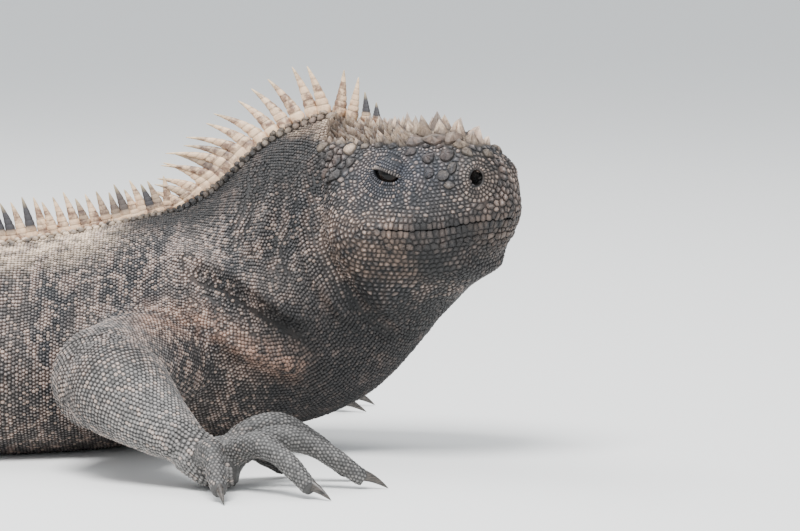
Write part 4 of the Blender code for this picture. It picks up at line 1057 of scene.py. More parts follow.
# Rows round the lids: beyond the opening, spacing, half width, height and paleness
LID_ROWS = (
    (0.45, 0.85, 0.6, 0.7, 3.0), (1.5, 0.85, 0.5, 0.3, 0.12), (2.4, 0.95, 0.5, 0.3, 0.05),
    (3.4, 1.05, 0.55, 0.32, 0.0), (4.5, 1.15, 0.6, 0.34, 0.0), (5.7, 1.2, 0.62, 0.36, 0.0),
)
NOSTRIL_ROWS = ((3.3, 0.9, 0.5), (4.4, 1.1, 0.6), (5.6, 1.25, 0.65), (6.9, 1.4, 0.7))  # radius, spacing, half width
for side in (1, -1):
    for grow, spacing, half_wide, tall, pale in LID_ROWS:
        outline = lid_outline(grow, 160)
        run = run_length(outline)
        for at in np.arange(0, run[-1], spacing):
            f, u = np.interp(at, run, outline[:, 0]), np.interp(at, run, outline[:, 1])
            f2, u2 = np.interp(at + 0.3, run, outline[:, 0]), np.interp(at + 0.3, run, outline[:, 1])
            lie = unit(HEAD_FORWARD * (f2 - f) + UP * (u2 - u) + HEAD_FORWARD * 1e-4)
            shown = pale if u > LID_TILT * f + 0.3 or grow > 1 else 0.1
            start = head_point(f, side * 45, u)
            plant(start, -HEAD_ASIDE * side, lie, spacing * 0.52, half_wide, tall, 0.35, shown)
    nostril = (NOSTRIL_AT[0], side * NOSTRIL_AT[1], NOSTRIL_AT[2])
    for radius, spacing, half_wide in NOSTRIL_ROWS:
        count = int(2 * math.pi * radius / spacing)
        for a in np.arange(count) / count * 2 * math.pi:
            start, base, ahead = (
                turned_point(nostril, math.cos(b) * radius, out, math.sin(b) * radius * 1.12, NOSTRIL_TURN)
                for b, out in ((a, 14.0), (a, 0.0), (a + 0.1, 0.0))
            )
            plant(start, unit(base - start), unit(ahead - base), spacing * 0.52, half_wide, 0.35, 0.3, 0.1)

tries = 60000
try_s = rng.uniform(HEAD_START - 0.2, HEAD_END - 0.2, tries)
try_angle = rng.uniform(0, 2 * math.pi, tries)
places = trunk_point(try_s, try_angle, -COAT_DEPTH)
front = head_point(rng.uniform(30, 40, 3000), rng.uniform(-13, 13, 3000), rng.uniform(-22, 6, 3000))
places = np.vstack([places, front])
wild_place, _, _, wild_normal, _, _ = seated(places, np.tile(HEAD_FORWARD, (len(places), 1)), 4.0)

# The face's scales lie in rows: rings round the eye, and lines that follow the mouth and turn round its corner.
f, right, u = head_local(wild_place)
rings = eye_rings(f, u)
pitch = np.where(u > mouth_level(f), 1.25, 1.5)
to_row = np.round(rings / 1.15) * 1.15 / np.maximum(rings, 0.1)
round_eye = (rings < 13.5) & (u > -11)
mouth_foot = nearest_on(np.stack([f, u], 1), MOUTH_LINE)
from_mouth = np.stack([f, u], 1) - mouth_foot
off_mouth = np.maximum(np.linalg.norm(from_mouth, axis=1), 0.1)
on_line = mouth_foot + from_mouth * (np.round(off_mouth / pitch) * pitch / off_mouth)[:, None]
row_f = np.where(round_eye, f * to_row, on_line[:, 0])
row_u = np.where(round_eye, (u + 0.6) * to_row - 0.6, on_line[:, 1])
in_rows = (np.abs(wild_normal @ HEAD_ASIDE) > 0.5) & (u < 8) & (round_eye | (off_mouth < 27))
ring_way = np.stack([-(u + 0.6) * 1.21, f / 1.56], 1)
row_way = unit(np.where(round_eye[:, None], ring_way, np.stack([-from_mouth[:, 1], from_mouth[:, 0]], 1)))
for i in np.flatnonzero(in_rows):
    side = math.copysign(1, right[i])
    start = head_point(row_f[i], side * 60, row_u[i])
    place, normal, _, _ = tree.ray_cast(Vector(start), Vector(-HEAD_ASIDE * side))
    if place is not None:
        wild_place[i], wild_normal[i] = place, normal
f, right, u = head_local(wild_place)
out = np.abs(right)
facing_up = wild_normal[:, 2]
crown = soft(u + 3 * (facing_up - 0.6), 9.5, 11.0)
jowl = soft(-u, 5, 11) * (1 - soft(f, -1, 4)) * soft(u, -33, -28)
temple = (1 - soft(f, -18, -13)) * soft(u, -6, 0)
half_wide = np.where(u > mouth_level(f), 0.6, 0.74) + 0.45 * soft(f, 29, 33)
half_wide = half_wide + 0.35 * soft(f, 18, 24) * soft(u, -4, 2) + 0.5 * temple
half_wide = half_wide * (1 - crown) + np.interp(f, *CROWN_SIZES) * crown
half_long = half_wide * (1.1 + 0.3 * in_rows)
tall = 0.6 * half_wide * (1 - crown) + np.interp(f, *CROWN_TALL) * rng.uniform(0.75, 1.15, len(f)) * half_wide * crown
sharp = 0.35 + 0.95 * crown + 0.25 * jowl
lie = np.where(in_rows[:, None], row_way[:, :1] * HEAD_FORWARD + row_way[:, 1:] * UP, -HEAD_FORWARD)
pale = soft(crown, 0.4, 0.9) * (1 - 0.6 * soft(out, 8, 13) * soft(f, -4, 4)) * (0.75 + 0.25 * rng.random(len(f)))
in_lids = (np.abs(f) < 5.2) & (np.abs(u - LID_TILT * f) < 2.6)
hole = np.linalg.norm(np.stack([f - NOSTRIL_AT[0], out - NOSTRIL_AT[1], u - NOSTRIL_AT[2]], 1), axis=1)
open_line = (f > MOUTH_CORNER - 1) & (np.abs(u - mouth_level(f)) < 0.5)
behind = np.linalg.norm(np.stack([f - EAR_AT[0], u - EAR_AT[1]], 1) / (1.6, 3.2), axis=1) < 1.0
under_crest = (f < -24) & (out < 2.4) & (u > 8)
usable = ~(in_lids | (hole < 2.9) | open_line | behind | under_crest)
usable &= np.linalg.norm(wild_place - HEAD_AT, axis=1) < 75
rows = np.column_stack([wild_place, lie, wild_normal, half_long, half_wide, tall, sharp, pale])[usable]


def settle(fixed_rows, wild_rows, cell=3.0):
    """Keeps each plate that has room among those before it."""
    kept, cells = [], {}
    for number, row in enumerate(np.vstack([fixed_rows, wild_rows])):
        place, size = row[:3], math.sqrt(row[9] * row[10])
        least = 0.55 if number < len(fixed_rows) else 0.84
        at = tuple((place // cell).astype(int))
        reach = 2 if size > 1.2 else 1
        crowd = False
        for dx in range(-reach, reach + 1):
            for dy in range(-reach, reach + 1):
                for dz in range(-reach, reach + 1):
                    for other, other_size in cells.get((at[0] + dx, at[1] + dy, at[2] + dz), ()):
                        gap = other - place
                        if gap @ gap < (least * (size + other_size)) ** 2:
                            crowd = True
        if not crowd:
            kept.append(row)
            cells.setdefault(at, []).append((place, size))
    return np.array(kept)


def cell_bounds(rows):
    """The neighbours of each plate and how far towards each it reaches, as a share of its own half sizes."""
    place, normal = rows[:, :3], unit(rows[:, 6:9])
    lie = unit(rows[:, 3:6] - normal * np.sum(rows[:, 3:6] * normal, 1, keepdims=True))
    aside = np.cross(normal, lie)
    half_long, half_wide = rows[:, 9], rows[:, 10]
    search = KDTree(len(rows))
    for i, at in enumerate(place):
        search.insert(at, i)
    search.balance()
    close = np.array([[n[1] for n in search.find_n(at, 15)][1:] for at in place])
    gap = place[close] - place[:, None]
    x, y = np.sum(gap * lie[:, None], 2) / half_long[:, None], np.sum(gap * aside[:, None], 2) / half_wide[:, None]
    far = np.maximum(np.hypot(x, y), 1e-6)
    size = np.sqrt(half_long * half_wide)
    return lie, aside, normal, size, x, y, far, far / (1 + size[close] / size[:, None])


def plates(name, rows, bounds, sides, groove=0.06):
    """Polygonal plates whose edges lie between each seed and its neighbours."""
    lie, aside, normal, size, x, y, far, bound = bounds
    place, count = rows[:, :3], len(rows)
    half_long, half_wide, tall, sharp, pale = rows[:, 9:14].T
    angle = ring_angles(sides)
    cosine = (x[..., None] * np.cos(angle) + y[..., None] * np.sin(angle)) / far[..., None]
    extent = np.where(cosine > 0.08, bound[..., None] / np.maximum(cosine, 0.08), 9).min(1)
    extent = np.clip(np.minimum(extent, 1.6) - groove / size[:, None], 0.3, None)
    ridge = rng.uniform(0, 2 * math.pi, count)[:, None]
    ridges = np.cos(6 * angle[None] + ridge) + rng.normal(0, 0.6, (count, sides))
    points, tips = [], []
    blunt, pointed = ((1.0, 0.0), (0.93, 0.6), (0.6, 0.9)), ((1.0, 0.0), (0.8, 0.22), (0.42, 0.56))
    for level in range(3):
        radius = blunt[level][0] + (pointed[level][0] - blunt[level][0]) * sharp
        height = blunt[level][1] + (pointed[level][1] - blunt[level][1]) * sharp
        high = tall[:, None] * height[:, None] * (1 + 0.16 * ridges * (level > 0))
        high = high - (0.3 + 0.12 * size[:, None]) * (level == 0)
        spread_out = extent * radius[:, None] * (1 + 0.06 * level * ridges * sharp[:, None])
        fore = spread_out * np.cos(angle) * half_long[:, None] + (0.12 * level * size * sharp)[:, None]
        across = spread_out * np.sin(angle) * half_wide[:, None]
        ways = ((lie, fore), (aside, across), (normal, high))
        points.append(place[:, None] + sum(way[:, None] * reach[..., None] for way, reach in ways))
        tips.append(np.full((count, sides), (0.0, 0.36, 0.66)[level]) + 0.05 * ridges * (level > 0))
    apex = place + lie * (0.3 * size * sharp)[:, None] + normal * tall[:, None]
    points = np.concatenate(points + [apex[:, None]], 1)
    tips = np.concatenate(tips + [1 - 0.28 * ((size > 1.9) & (sharp < 1))[:, None]], 1)
    per = 3 * sides + 1
    triangles = (np.arange(count)[:, None, None] * per + ring_fans(3, sides)[None]).reshape(-1, 3)
    made = triangle_mesh(name, points.reshape(-1, 3), triangles)
    put(made.data, "tip", tips)
    put(made.data, "tint", np.repeat(rng.random(count), per))
    marks = markings(place)
    marks["pale"] = np.maximum(marks["pale"] * (marks["pale"] < 0.05), pale)
    for mark, values in marks.items():
        put(made.data, mark, np.repeat(values, per))
    f, right, u = head_local(place)
    turn = np.arctan2(right, u + 8)
    local = np.stack([np.cos(angle), np.sin(angle)], 1)
    local = np.vstack([local, local * 0.8, local * 0.4, [[0, 0]]]) * PATCH
    patches = np.stack([spread(f), spread(turn)], 1)[:, None] + local[None]
    lay_patches(made.data, patches.reshape(-1, 2), triangles)
    return made


plate_rows = settle(np.array(seeds), rows)
bounds = cell_bounds(plate_rows)
large = plate_rows[:, 10] > 1.0
right_half = head_local(plate_rows[:, :3])[1] > 0
for name, which, sides in (
    ("head_plates", large, 18),
    ("face_scales_right", ~large & right_half, 8),
    ("face_scales_left", ~large & ~right_half, 8),
):
    coat_pieces.append(plates(name, plate_rows[which], [values[which] for values in bounds], sides))

# The crest: tall, flat spines of horn along the nape, back and tail. Each grew in rings, so that it is banded across,
# and stands in a row of blocks of the same pale horn.


def crest_piece(name, first, last, pitch, size, lean, lift, rings, sides, bands, dark_share=1.0):
    """Banded spines along the midline. size gives height, length and thickness at a distance along the body."""
    angle = ring_angles(sides)
    points, triangles, tips, tints, bands_at, marks_at, patches = [], [], [], [], [], [], []
    at = first
    while at < last:
        top = trunk_point([at - 1, at, at + 1], 0.0, -COAT_DEPTH)
        row = trunk_at(at)[0]
        yaw = math.radians(row[3])
        aside = np.array([math.sin(yaw), -math.cos(yaw), 0])
        back = unit(top[0] - top[2])
        up = np.cross(back, aside)
        up = unit(up if up[2] > 0 else -up) + aside * rng.uniform(-0.09, 0.09)
        up = unit(up)
        height, length, thick = size(at)
        height *= rng.uniform(0.86, 1.12)
        leaning = lean(at) * rng.uniform(0.75, 1.25) + rng.uniform(-0.04, 0.04)
        back = unit(back - up * (back @ up))
        side = np.cross(up, back)
        foot = top[1] + up * lift
        t = np.linspace(0, 0.985, rings)
        phase = t * bands
        swell = 0.9 + 0.2 * np.sin(np.pi * (phase % 1.0)) ** 0.5 * (1 - 0.5 * t)
        half_length = length / 2 * (1 - t) ** 0.8 * swell + 0.1
        half_thick = thick / 2 * (1 - t) ** 0.75 * swell + 0.1
        sink = np.where(np.arange(rings) == 0, -2.2, 0)
        centre = foot + up * (height * t + sink)[:, None] + back * (leaning * height * t**1.7)[:, None]
        square = 0.72 + 0.28 * t[:, None]
        ring = (
            centre[:, None]
            + back * (powered(np.cos(angle), square) * half_length[:, None])[..., None]
            + side * (powered(np.sin(angle), square) * half_thick[:, None])[..., None]
        )
        tip = foot + up * height + back * leaning * height
        triangles.append(ring_fans(rings, sides) + len(points) * (rings * sides + 1))
        points.append(np.vstack([ring.reshape(-1, 3), tip]))
        tips.append(np.append(np.repeat(t, sides), 1.0))
        tints.append(np.full(rings * sides + 1, 1.0 if at > HEAD_START + 7 else rng.random() * dark_share))
        groove = np.abs((phase + 0.5) % 1.0 - 0.5) * 2
        bands_at.append(np.append(np.repeat(groove, sides), 1.0))
        chosen = rng.random(bands + 1)
        marks_at.append(np.append(np.repeat(chosen[np.minimum(phase.astype(int), bands)], sides), chosen[-1]))
        across = np.stack([np.cos(angle), np.sin(angle)], 1) * 0.0012
        local = np.vstack([np.tile(across, (rings, 1)) * (1 - np.repeat(t, sides))[:, None], [[0, 0]]])
        patches.append(np.array([[(at - first) / (last - first) * 0.96 + 0.02, 0.5]]) + local)
        at += pitch(at) * rng.uniform(0.86, 1.14)
    made = triangle_mesh(name, np.vstack(points), np.vstack(triangles), smooth=True)
    for key, values in (("tip", tips), ("tint", tints), ("groove", bands_at), ("band", marks_at)):
        put(made.data, key, np.concatenate(values))
    lay_patches(made.data, np.vstack(patches), np.vstack(triangles))
    return made


def nape_share(s):
    return np.clip((s - NECK_START) / (HEAD_START - NECK_START), 0, 1)


def nape_size(s):
    """Tall over the nape, and shorter on the back of the head."""
    share, beyond = float(nape_share(s)), max(0.0, s - HEAD_START)
    return 9.5 + 9.0 * min(1, share * 4.5) - 2.0 * share - 0.75 * beyond, 5.0 - 0.12 * beyond, 3.0 - 0.1 * beyond


def back_size(s):
    share = (s - BODY_START) / (NECK_START - BODY_START)
    return 10.0 + 4.2 * math.sin(math.pi * min(1, share * 0.8 + 0.1)), 4.3, 2.6


def tail_size(s):
    share = s / BODY_START
    return 2.4 + 7.6 * share, 3.6 + 1.4 * share, 1.4 + 1.0 * share


def nape_pitch(s):
    return 4.9 if s < HEAD_START + 8 else 3.4


def nape_lean(s):
    return 0.85 - 0.75 * float(nape_share(s))


def tail_pitch(s):
    return 4.6 + 1.4 * (1 - s / BODY_START)


crest_pieces = [
    crest_piece(
        "nape_crest", NECK_START + 1, HEAD_START + 15, nape_pitch, nape_size, nape_lean, lift=1.2,
        rings=36, sides=12, bands=7, dark_share=0.72,
    ),
    crest_piece(
        "back_crest", BODY_START + 1, NECK_START - 2, lambda s: 3.8, back_size, lambda s: 0.16, lift=0.2,
        rings=29, sides=10, bands=7,
    ),
    crest_piece(
        "tail_crest", 12, BODY_START - 1, tail_pitch, tail_size, lambda s: 0.5, lift=0.1, rings=14, sides=8, bands=5,
    ),
]

# Blocks of pale horn along both sides of the crest's foot, squarish and set edge to edge.

blocks = []
for first, last, pitch, offsets, half_wide, high in (
    (NECK_START, HEAD_START - 1, 3.3, (2.5, 5.0), 1.35, 1.7), (BODY_START, NECK_START, 2.7, (1.9, 3.9), 1.1, 1.3),
):
    for number, offset in enumerate(offsets):
        for side in (1, -1):
            at = first + number * pitch / 2
            while at < last:
                row = trunk_at(at)[0]
                angle = offset / (row[6] * 0.62 + row[5] * 0.38)
                spot = trunk_point([at, at + 0.5], [side * angle, side * angle], -COAT_DEPTH)
                lie = unit(spot[0] - spot[1])
                hit, normal, _, _ = tree.find_nearest(spot[0], 3.0)
                if hit is not None:
                    pale = 0.95 - 0.4 * number * rng.random()
                    tall = high * rng.uniform(0.7, 1.15)
                    blocks.append((*hit, *lie, *normal, pitch * 0.5, half_wide, tall, 0.3, pale))
                at += pitch * rng.uniform(0.9, 1.1)
blocks = np.array(blocks)
coat_pieces.append(plates("crest_blocks", blocks, cell_bounds(blocks), 10))

# The eyes: dark and wet balls, a slit of each showing between the lids, with a near-black pupil in a brown iris.


def eye_piece(name, side):
    centre = (0, side * EYE_SIDE, 0)
    made = head_ball(name, centre, (EYE_RADIUS,) * 3, sides=64, levels=40)
    gaze = turned_point(centre, 0.08, 1.0, 0.02, 8.0) - head_point(*centre)
    points, _ = edge_arrays(made.data)
    put(made.data, "gaze", np.clip(unit(points - head_point(*centre)) @ unit(gaze), -1, 1))
    return made


eyes = {"eye_right": eye_piece("right_eye", 1), "eye_left": eye_piece("left_eye", -1)}

# The claws: long, dark and curved, of solid horn with fine grain along it.

CLAW_LENGTH = 11.0


def claw_points(start, way, size, rings=16, sides=16):
    flat = unit(np.array([way[0], way[1], 0]))
    tip = start + flat * CLAW_LENGTH * 0.92
    tip[2] = 0.15
    middle = start + way * CLAW_LENGTH * 0.5 + np.array([0, 0, 3.0])
    aside = np.cross(flat, UP)
    angle = ring_angles(sides)
    made = []
    for t in np.linspace(0.0, 0.97, rings):
        centre = start * (1 - t) ** 2 + middle * 2 * t * (1 - t) + tip * t * t
        ahead = (middle - start) * (1 - t) + (tip - middle) * t if t else way
        up = np.cross(aside, unit(ahead))
        narrow = size * (1 - t) ** 0.75
        keel = np.where(np.cos(angle) > 0, 1.0, 0.82)
        across, tall = np.sin(angle) * narrow * 0.66, np.cos(angle) * narrow * keel
        made.append(centre + aside * across[:, None] + up * tall[:, None])
    made = np.array(made)
    made[..., 2] = np.maximum(made[..., 2], 0.02)
    return made, tip


claw_pieces = []
for paw in dict.fromkeys(name for name, _, _ in digit_ends):
    shapes = []
    for run in (np.array(run[: -len(CUFF)]) for name, _, run in digit_ends if name == paw):
        way = unit(run[-1, :3] - run[-2, :3])
        shapes.append(claw_points(run[-1, :3] + way * 0.3 - way * 1.2, way, (run[-1, 3] + COAT_DEPTH * 0.5) * 0.86))
    parts = [loft("claw", rings, tip=tip) for rings, tip in shapes]
    joined_claws = bmesh.new()
    for part in parts:
        joined_claws.from_mesh(part.data)
        bpy.data.objects.remove(part)
    mesh = bpy.data.meshes.new(f"{paw}_claws")
    joined_claws.to_mesh(mesh)
    joined_claws.free()
    mesh.polygons.foreach_set("use_smooth", [True] * len(mesh.polygons))
    piece = bpy.data.objects.new(f"{paw}_claws", mesh)
    bpy.context.scene.collection.objects.link(piece)
    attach(piece, "root")
    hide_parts(*[f"{paw}_claw_{number}" for number in range(1, 6)])
    claw_pieces.append(piece)

# Hide: dry, matt skin under horny scales. The body is charcoal with brown mottles. Each scale darkens towards the
# groove at its foot as painted shade, and pales at its tip, partly wear and partly painted highlight.


def linear(hex_colour):
    """An sRGB hex colour in linear light."""
    values = [int(hex_colour[i : i + 2], 16) / 255 for i in (1, 3, 5)]
    return (*[v / 12.92 if v <= 0.04045 else ((v + 0.055) / 1.055) ** 2.4 for v in values], 1.0)


def add_node(tree, kind, inputs=None, **settings):
    """Adds a node with its settings. inputs gives a value or another node's output for each named socket."""
    node = tree.nodes.new(kind)
    for name, value in settings.items():
        setattr(node, name, value)
    for name, value in (inputs or {}).items():
        if isinstance(value, bpy.types.NodeSocket):
            tree.links.new(value, node.inputs[name])
        else:
            node.inputs[name].default_value = value
    return node


def begin_material(name, roughness, ior):
    """A new material, its nodes, its shader and the place on the object."""
    made = bpy.data.materials.new(name)
    made.use_nodes = True
    shader = made.node_tree.nodes["Principled BSDF"]
    shader.inputs["Roughness"].default_value = roughness
    shader.inputs["IOR"].default_value = ior
    return made, made.node_tree, shader, add_node(made.node_tree, "ShaderNodeTexCoord").outputs["Object"]


MIX_FACTOR, MIX_A, MIX_B, MIX_RESULT = 0, 6, 7, 2  # sockets of a mix node for colours
# Mask, colour, size of the noise that breaks it up in mm, and how much it is broken up. The pale mask is far above
# 1 on the lids' margins, so that the noise can't break them up.
HIDE_LAYERS = (
    ("pale", "#ecd2b6", 2.6, 0.85),
    # The dark layer paints both the dark nape and lips and painted shade on the neck, throat and nostrils.
    ("dark_and_painted_shade", "#0e0e10", 6.0, 0.3),
    ("blue", "#3b4250", 5.0, 0.4),
    ("tan", "#7d6759", 1.7, 1.0),
    ("rust", "#8e6f5f", 2.4, 0.9),
    ("paw", "#787674", 7.0, 0.25),
)


# A noise's scale counts patches to the metre: 60 gives blotches of about 17 mm, 260 mottling of about 4 mm and 2200
# grain of about 0.5 mm.


def hide(name, roughness, worn_and_highlight_share):
    made, tree, shader, where = begin_material(name, roughness, 1.5)
    streaked = add_node(tree, "ShaderNodeMapping", {"Vector": where, "Scale": (1.0, 0.45, 0.45)}).outputs[0]
    broad = add_node(tree, "ShaderNodeTexNoise", {"Vector": streaked, "Scale": 60.0, "Detail": 4.0, "Roughness": 0.6})
    ramp = add_node(tree, "ShaderNodeMapRange", {"Value": broad.outputs["Fac"], "From Min": 0.4, "From Max": 0.6})
    ground = add_node(
        tree, "ShaderNodeMix",
        {MIX_FACTOR: ramp.outputs[0], MIX_A: linear("#242529"), MIX_B: linear("#4e4744")}, data_type="RGBA",
    )
    mottle = add_node(
        tree, "ShaderNodeTexNoise", {"Vector": streaked, "Scale": 260.0, "Detail": 5.0, "Roughness": 0.65},
    )
    spots = add_node(
        tree, "ShaderNodeMapRange",
        {"Value": mottle.outputs["Fac"], "From Min": 0.5, "From Max": 0.62, "To Max": 0.7},
    )
    colour = add_node(
        tree, "ShaderNodeMix",
        {MIX_FACTOR: spots.outputs[0], MIX_A: ground.outputs[MIX_RESULT], MIX_B: linear("#8d766b")},
        data_type="RGBA",
    )
    for mask, shade, size, broken in HIDE_LAYERS:
        read = add_node(tree, "ShaderNodeAttribute", attribute_name=mask)
        noise = add_node(
            tree, "ShaderNodeTexNoise",
            {"Vector": where, "Scale": 1000 / size / 2, "Detail": 3.0, "Roughness": 0.6},
        )
        cover = add_node(
            tree, "ShaderNodeMapRange",
            {
                "Value": noise.outputs["Fac"], "From Min": 0.38, "From Max": 0.58,
                "To Min": 1 - broken, "To Max": 1.0,
            },
        )
        share = add_node(
            tree, "ShaderNodeMath", {0: read.outputs["Fac"], 1: cover.outputs[0]}, operation="MULTIPLY",
            use_clamp=True,
        )
        colour = add_node(
            tree, "ShaderNodeMix",
            {MIX_FACTOR: share.outputs[0], MIX_A: colour.outputs[MIX_RESULT], MIX_B: linear(shade)},
            data_type="RGBA",
        )
    tint = add_node(tree, "ShaderNodeAttribute", attribute_name="tint")
    # Where the dark layer, with its painted shade, lies, the flecks and the pale tips fade.
    dark_and_painted_shade = add_node(tree, "ShaderNodeAttribute", attribute_name="dark_and_painted_shade")
    wear_and_highlight_room = add_node(tree, "ShaderNodeMapRange", {"Value": dark_and_painted_shade.outputs["Fac"], "To Min": 1.0, "To Max": 0.1})
    freckled = add_node(
        tree, "ShaderNodeMapRange",
        {"Value": tint.outputs["Fac"], "From Min": 0.84, "From Max": 0.9, "To Max": 0.4},
    )
    fleck = add_node(tree, "ShaderNodeMath", {0: freckled.outputs[0], 1: wear_and_highlight_room.outputs[0]}, operation="MULTIPLY")
    colour = add_node(
        tree, "ShaderNodeMix",
        {MIX_FACTOR: fleck.outputs[0], MIX_A: colour.outputs[MIX_RESULT], MIX_B: linear("#b59c8c")},
        data_type="RGBA",
    )
    vary = add_node(tree, "ShaderNodeMapRange", {"Value": tint.outputs["Fac"], "To Min": 0.6, "To Max": 1.35})
    tip = add_node(tree, "ShaderNodeAttribute", attribute_name="tip")
    # Painted shade: each scale darkens towards the groove at its foot, where its tip value is low.
    depth = add_node(
        tree, "ShaderNodeMapRange",
        {"Value": tip.outputs["Fac"], "From Min": 0.1, "From Max": 0.7, "To Min": 0.1, "To Max": 1.0},
    )
    shade = add_node(tree, "ShaderNodeMath", {0: vary.outputs[0], 1: depth.outputs[0]}, operation="MULTIPLY")
    toned = add_node(
        tree, "ShaderNodeVectorMath", {0: colour.outputs[MIX_RESULT], "Scale": shade.outputs[0]},
        operation="SCALE",
    )
    # The tip pales towards a light grey, partly wear and partly painted highlight.
    worn_and_highlight = add_node(
        tree, "ShaderNodeMapRange",
        {"Value": tip.outputs["Fac"], "From Min": 0.68, "From Max": 1.0, "To Max": worn_and_highlight_share},
    )
    patchy = add_node(
        tree, "ShaderNodeMapRange",
        {"Value": mottle.outputs["Fac"], "From Min": 0.4, "From Max": 0.62, "To Min": 0.2, "To Max": 1.3},
    )
    wear_and_highlight = worn_and_highlight
    for share in (vary, patchy, wear_and_highlight_room):
        wear_and_highlight = add_node(
            tree, "ShaderNodeMath", {0: wear_and_highlight.outputs[0], 1: share.outputs[0]}, operation="MULTIPLY",
            use_clamp=True,
        )
    final = add_node(
        tree, "ShaderNodeMix", {MIX_FACTOR: wear_and_highlight.outputs[0], MIX_A: toned.outputs[0], MIX_B: linear("#c2b9b3")},
        data_type="RGBA",
    )
    tree.links.new(final.outputs[MIX_RESULT], shader.inputs["Base Color"])
    grit = add_node(tree, "ShaderNodeTexNoise", {"Vector": where, "Scale": 2200.0, "Detail": 2.0})
    bump = add_node(tree, "ShaderNodeBump", {"Height": grit.outputs["Fac"], "Strength": 0.4, "Distance": 0.00015})
    crust = add_node(tree, "ShaderNodeTexNoise", {"Vector": where, "Scale": 650.0, "Detail": 5.0, "Roughness": 0.7})
    bump = add_node(
        tree, "ShaderNodeBump",
        {"Height": crust.outputs["Fac"], "Strength": 0.6, "Distance": 0.0006, "Normal": bump.outputs["Normal"]},
    )
    tree.links.new(bump.outputs["Normal"], shader.inputs["Normal"])
    return made


skin_material = hide("dry_scaled_hide", 0.6, 0.75)
smooth_hide = hide("fine_scaled_hide", 0.55, 0.25)
# The bare skin between the scales gets a low tip value, which the hide darkens as painted shade in the grooves.
put(skin.data, "tip", np.full(len(skin.data.vertices), 0.22))
put(skin.data, "tint", np.full(len(skin.data.vertices), 0.5))
carry_markings(skin.data, edge_arrays(skin.data)[0])
skin.data.materials.clear()
skin.data.materials.append(skin_material)
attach(skin, "root")
flesh = [name for name in frame["nodes"] if "claw" not in name and not name.startswith("eye_")]
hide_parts(*flesh)
for piece in coat_pieces:
    on_digits = "digit" in piece.name
    piece.data.materials.append(smooth_hide if on_digits else skin_material)
    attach(piece, "root")

# Crest horn: cream to rusty horn in bands, some spines slate dark, all paler at the tip, with painted shade in the
# grooves between the rings.

horn, tree, shader, where = begin_material("banded_crest_horn", 0.5, 1.54)
tint = add_node(tree, "ShaderNodeAttribute", attribute_name="tint")
band = add_node(tree, "ShaderNodeAttribute", attribute_name="band")
tip = add_node(tree, "ShaderNodeAttribute", attribute_name="tip")
groove = add_node(tree, "ShaderNodeAttribute", attribute_name="groove")
noise = add_node(tree, "ShaderNodeTexNoise", {"Vector": where, "Scale": 420.0, "Detail": 4.0, "Roughness": 0.65})
stain = add_node(
    tree, "ShaderNodeMapRange",
    {"Value": noise.outputs["Fac"], "From Min": 0.45, "From Max": 0.7, "To Max": 0.8},
)
cream = add_node(
    tree, "ShaderNodeMix", {MIX_FACTOR: stain.outputs[0], MIX_A: linear("#e6c5a2"), MIX_B: linear("#ab8161")},
    data_type="RGBA",
)
banded = add_node(tree, "ShaderNodeMath", {0: band.outputs["Fac"], 1: 0.5}, operation="GREATER_THAN")
patch = add_node(
    tree, "ShaderNodeMapRange",
    {"Value": noise.outputs["Fac"], "From Min": 0.36, "From Max": 0.6, "To Max": 0.85},
)
brown_share = add_node(tree, "ShaderNodeMath", {0: banded.outputs[0], 1: patch.outputs[0]}, operation="MULTIPLY")
browned = add_node(
    tree, "ShaderNodeMix",
    {MIX_FACTOR: brown_share.outputs[0], MIX_A: cream.outputs[MIX_RESULT], MIX_B: linear("#6a4f42")},
    data_type="RGBA",
)
slate = add_node(tree, "ShaderNodeMapRange", {"Value": tint.outputs["Fac"], "From Min": 0.62, "From Max": 0.78})
low = add_node(tree, "ShaderNodeMapRange", {"Value": tip.outputs["Fac"], "From Min": 0.12, "From Max": 0.3})
slate_share = add_node(tree, "ShaderNodeMath", {0: slate.outputs[0], 1: low.outputs[0]}, operation="MULTIPLY")
slated = add_node(
    tree, "ShaderNodeMix",
    {MIX_FACTOR: slate_share.outputs[0], MIX_A: browned.outputs[MIX_RESULT], MIX_B: linear("#3c3a3d")},
    data_type="RGBA",
)
# Painted shade: the colour darkens in the groove between each ring of a spine.
line = add_node(
    tree, "ShaderNodeMapRange",
    {"Value": groove.outputs["Fac"], "From Min": 0.0, "From Max": 0.3, "To Min": 0.3, "To Max": 1.0},
)
lined = add_node(
    tree, "ShaderNodeVectorMath", {0: slated.outputs[MIX_RESULT], "Scale": line.outputs[0]}, operation="SCALE",
)
bleach = add_node(
    tree, "ShaderNodeMapRange", {"Value": tip.outputs["Fac"], "From Min": 0.7, "From Max": 1.0, "To Max": 0.55},
)
final = add_node(
    tree, "ShaderNodeMix", {MIX_FACTOR: bleach.outputs[0], MIX_A: lined.outputs[0], MIX_B: linear("#e6cfa4")},
    data_type="RGBA",
)
tree.links.new(final.outputs[MIX_RESULT], shader.inputs["Base Color"])
grain = add_node(tree, "ShaderNodeTexNoise", {"Vector": where, "Scale": 1500.0, "Detail": 3.0})
bump = add_node(tree, "ShaderNodeBump", {"Height": grain.outputs["Fac"], "Strength": 0.3, "Distance": 0.0002})
tree.links.new(bump.outputs["Normal"], shader.inputs["Normal"])
for piece in crest_pieces:
    piece.data.materials.append(horn)
    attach(piece, "root")

# Wet eye: near-black pupil, dark brown iris, under a clear, smooth film of tears.

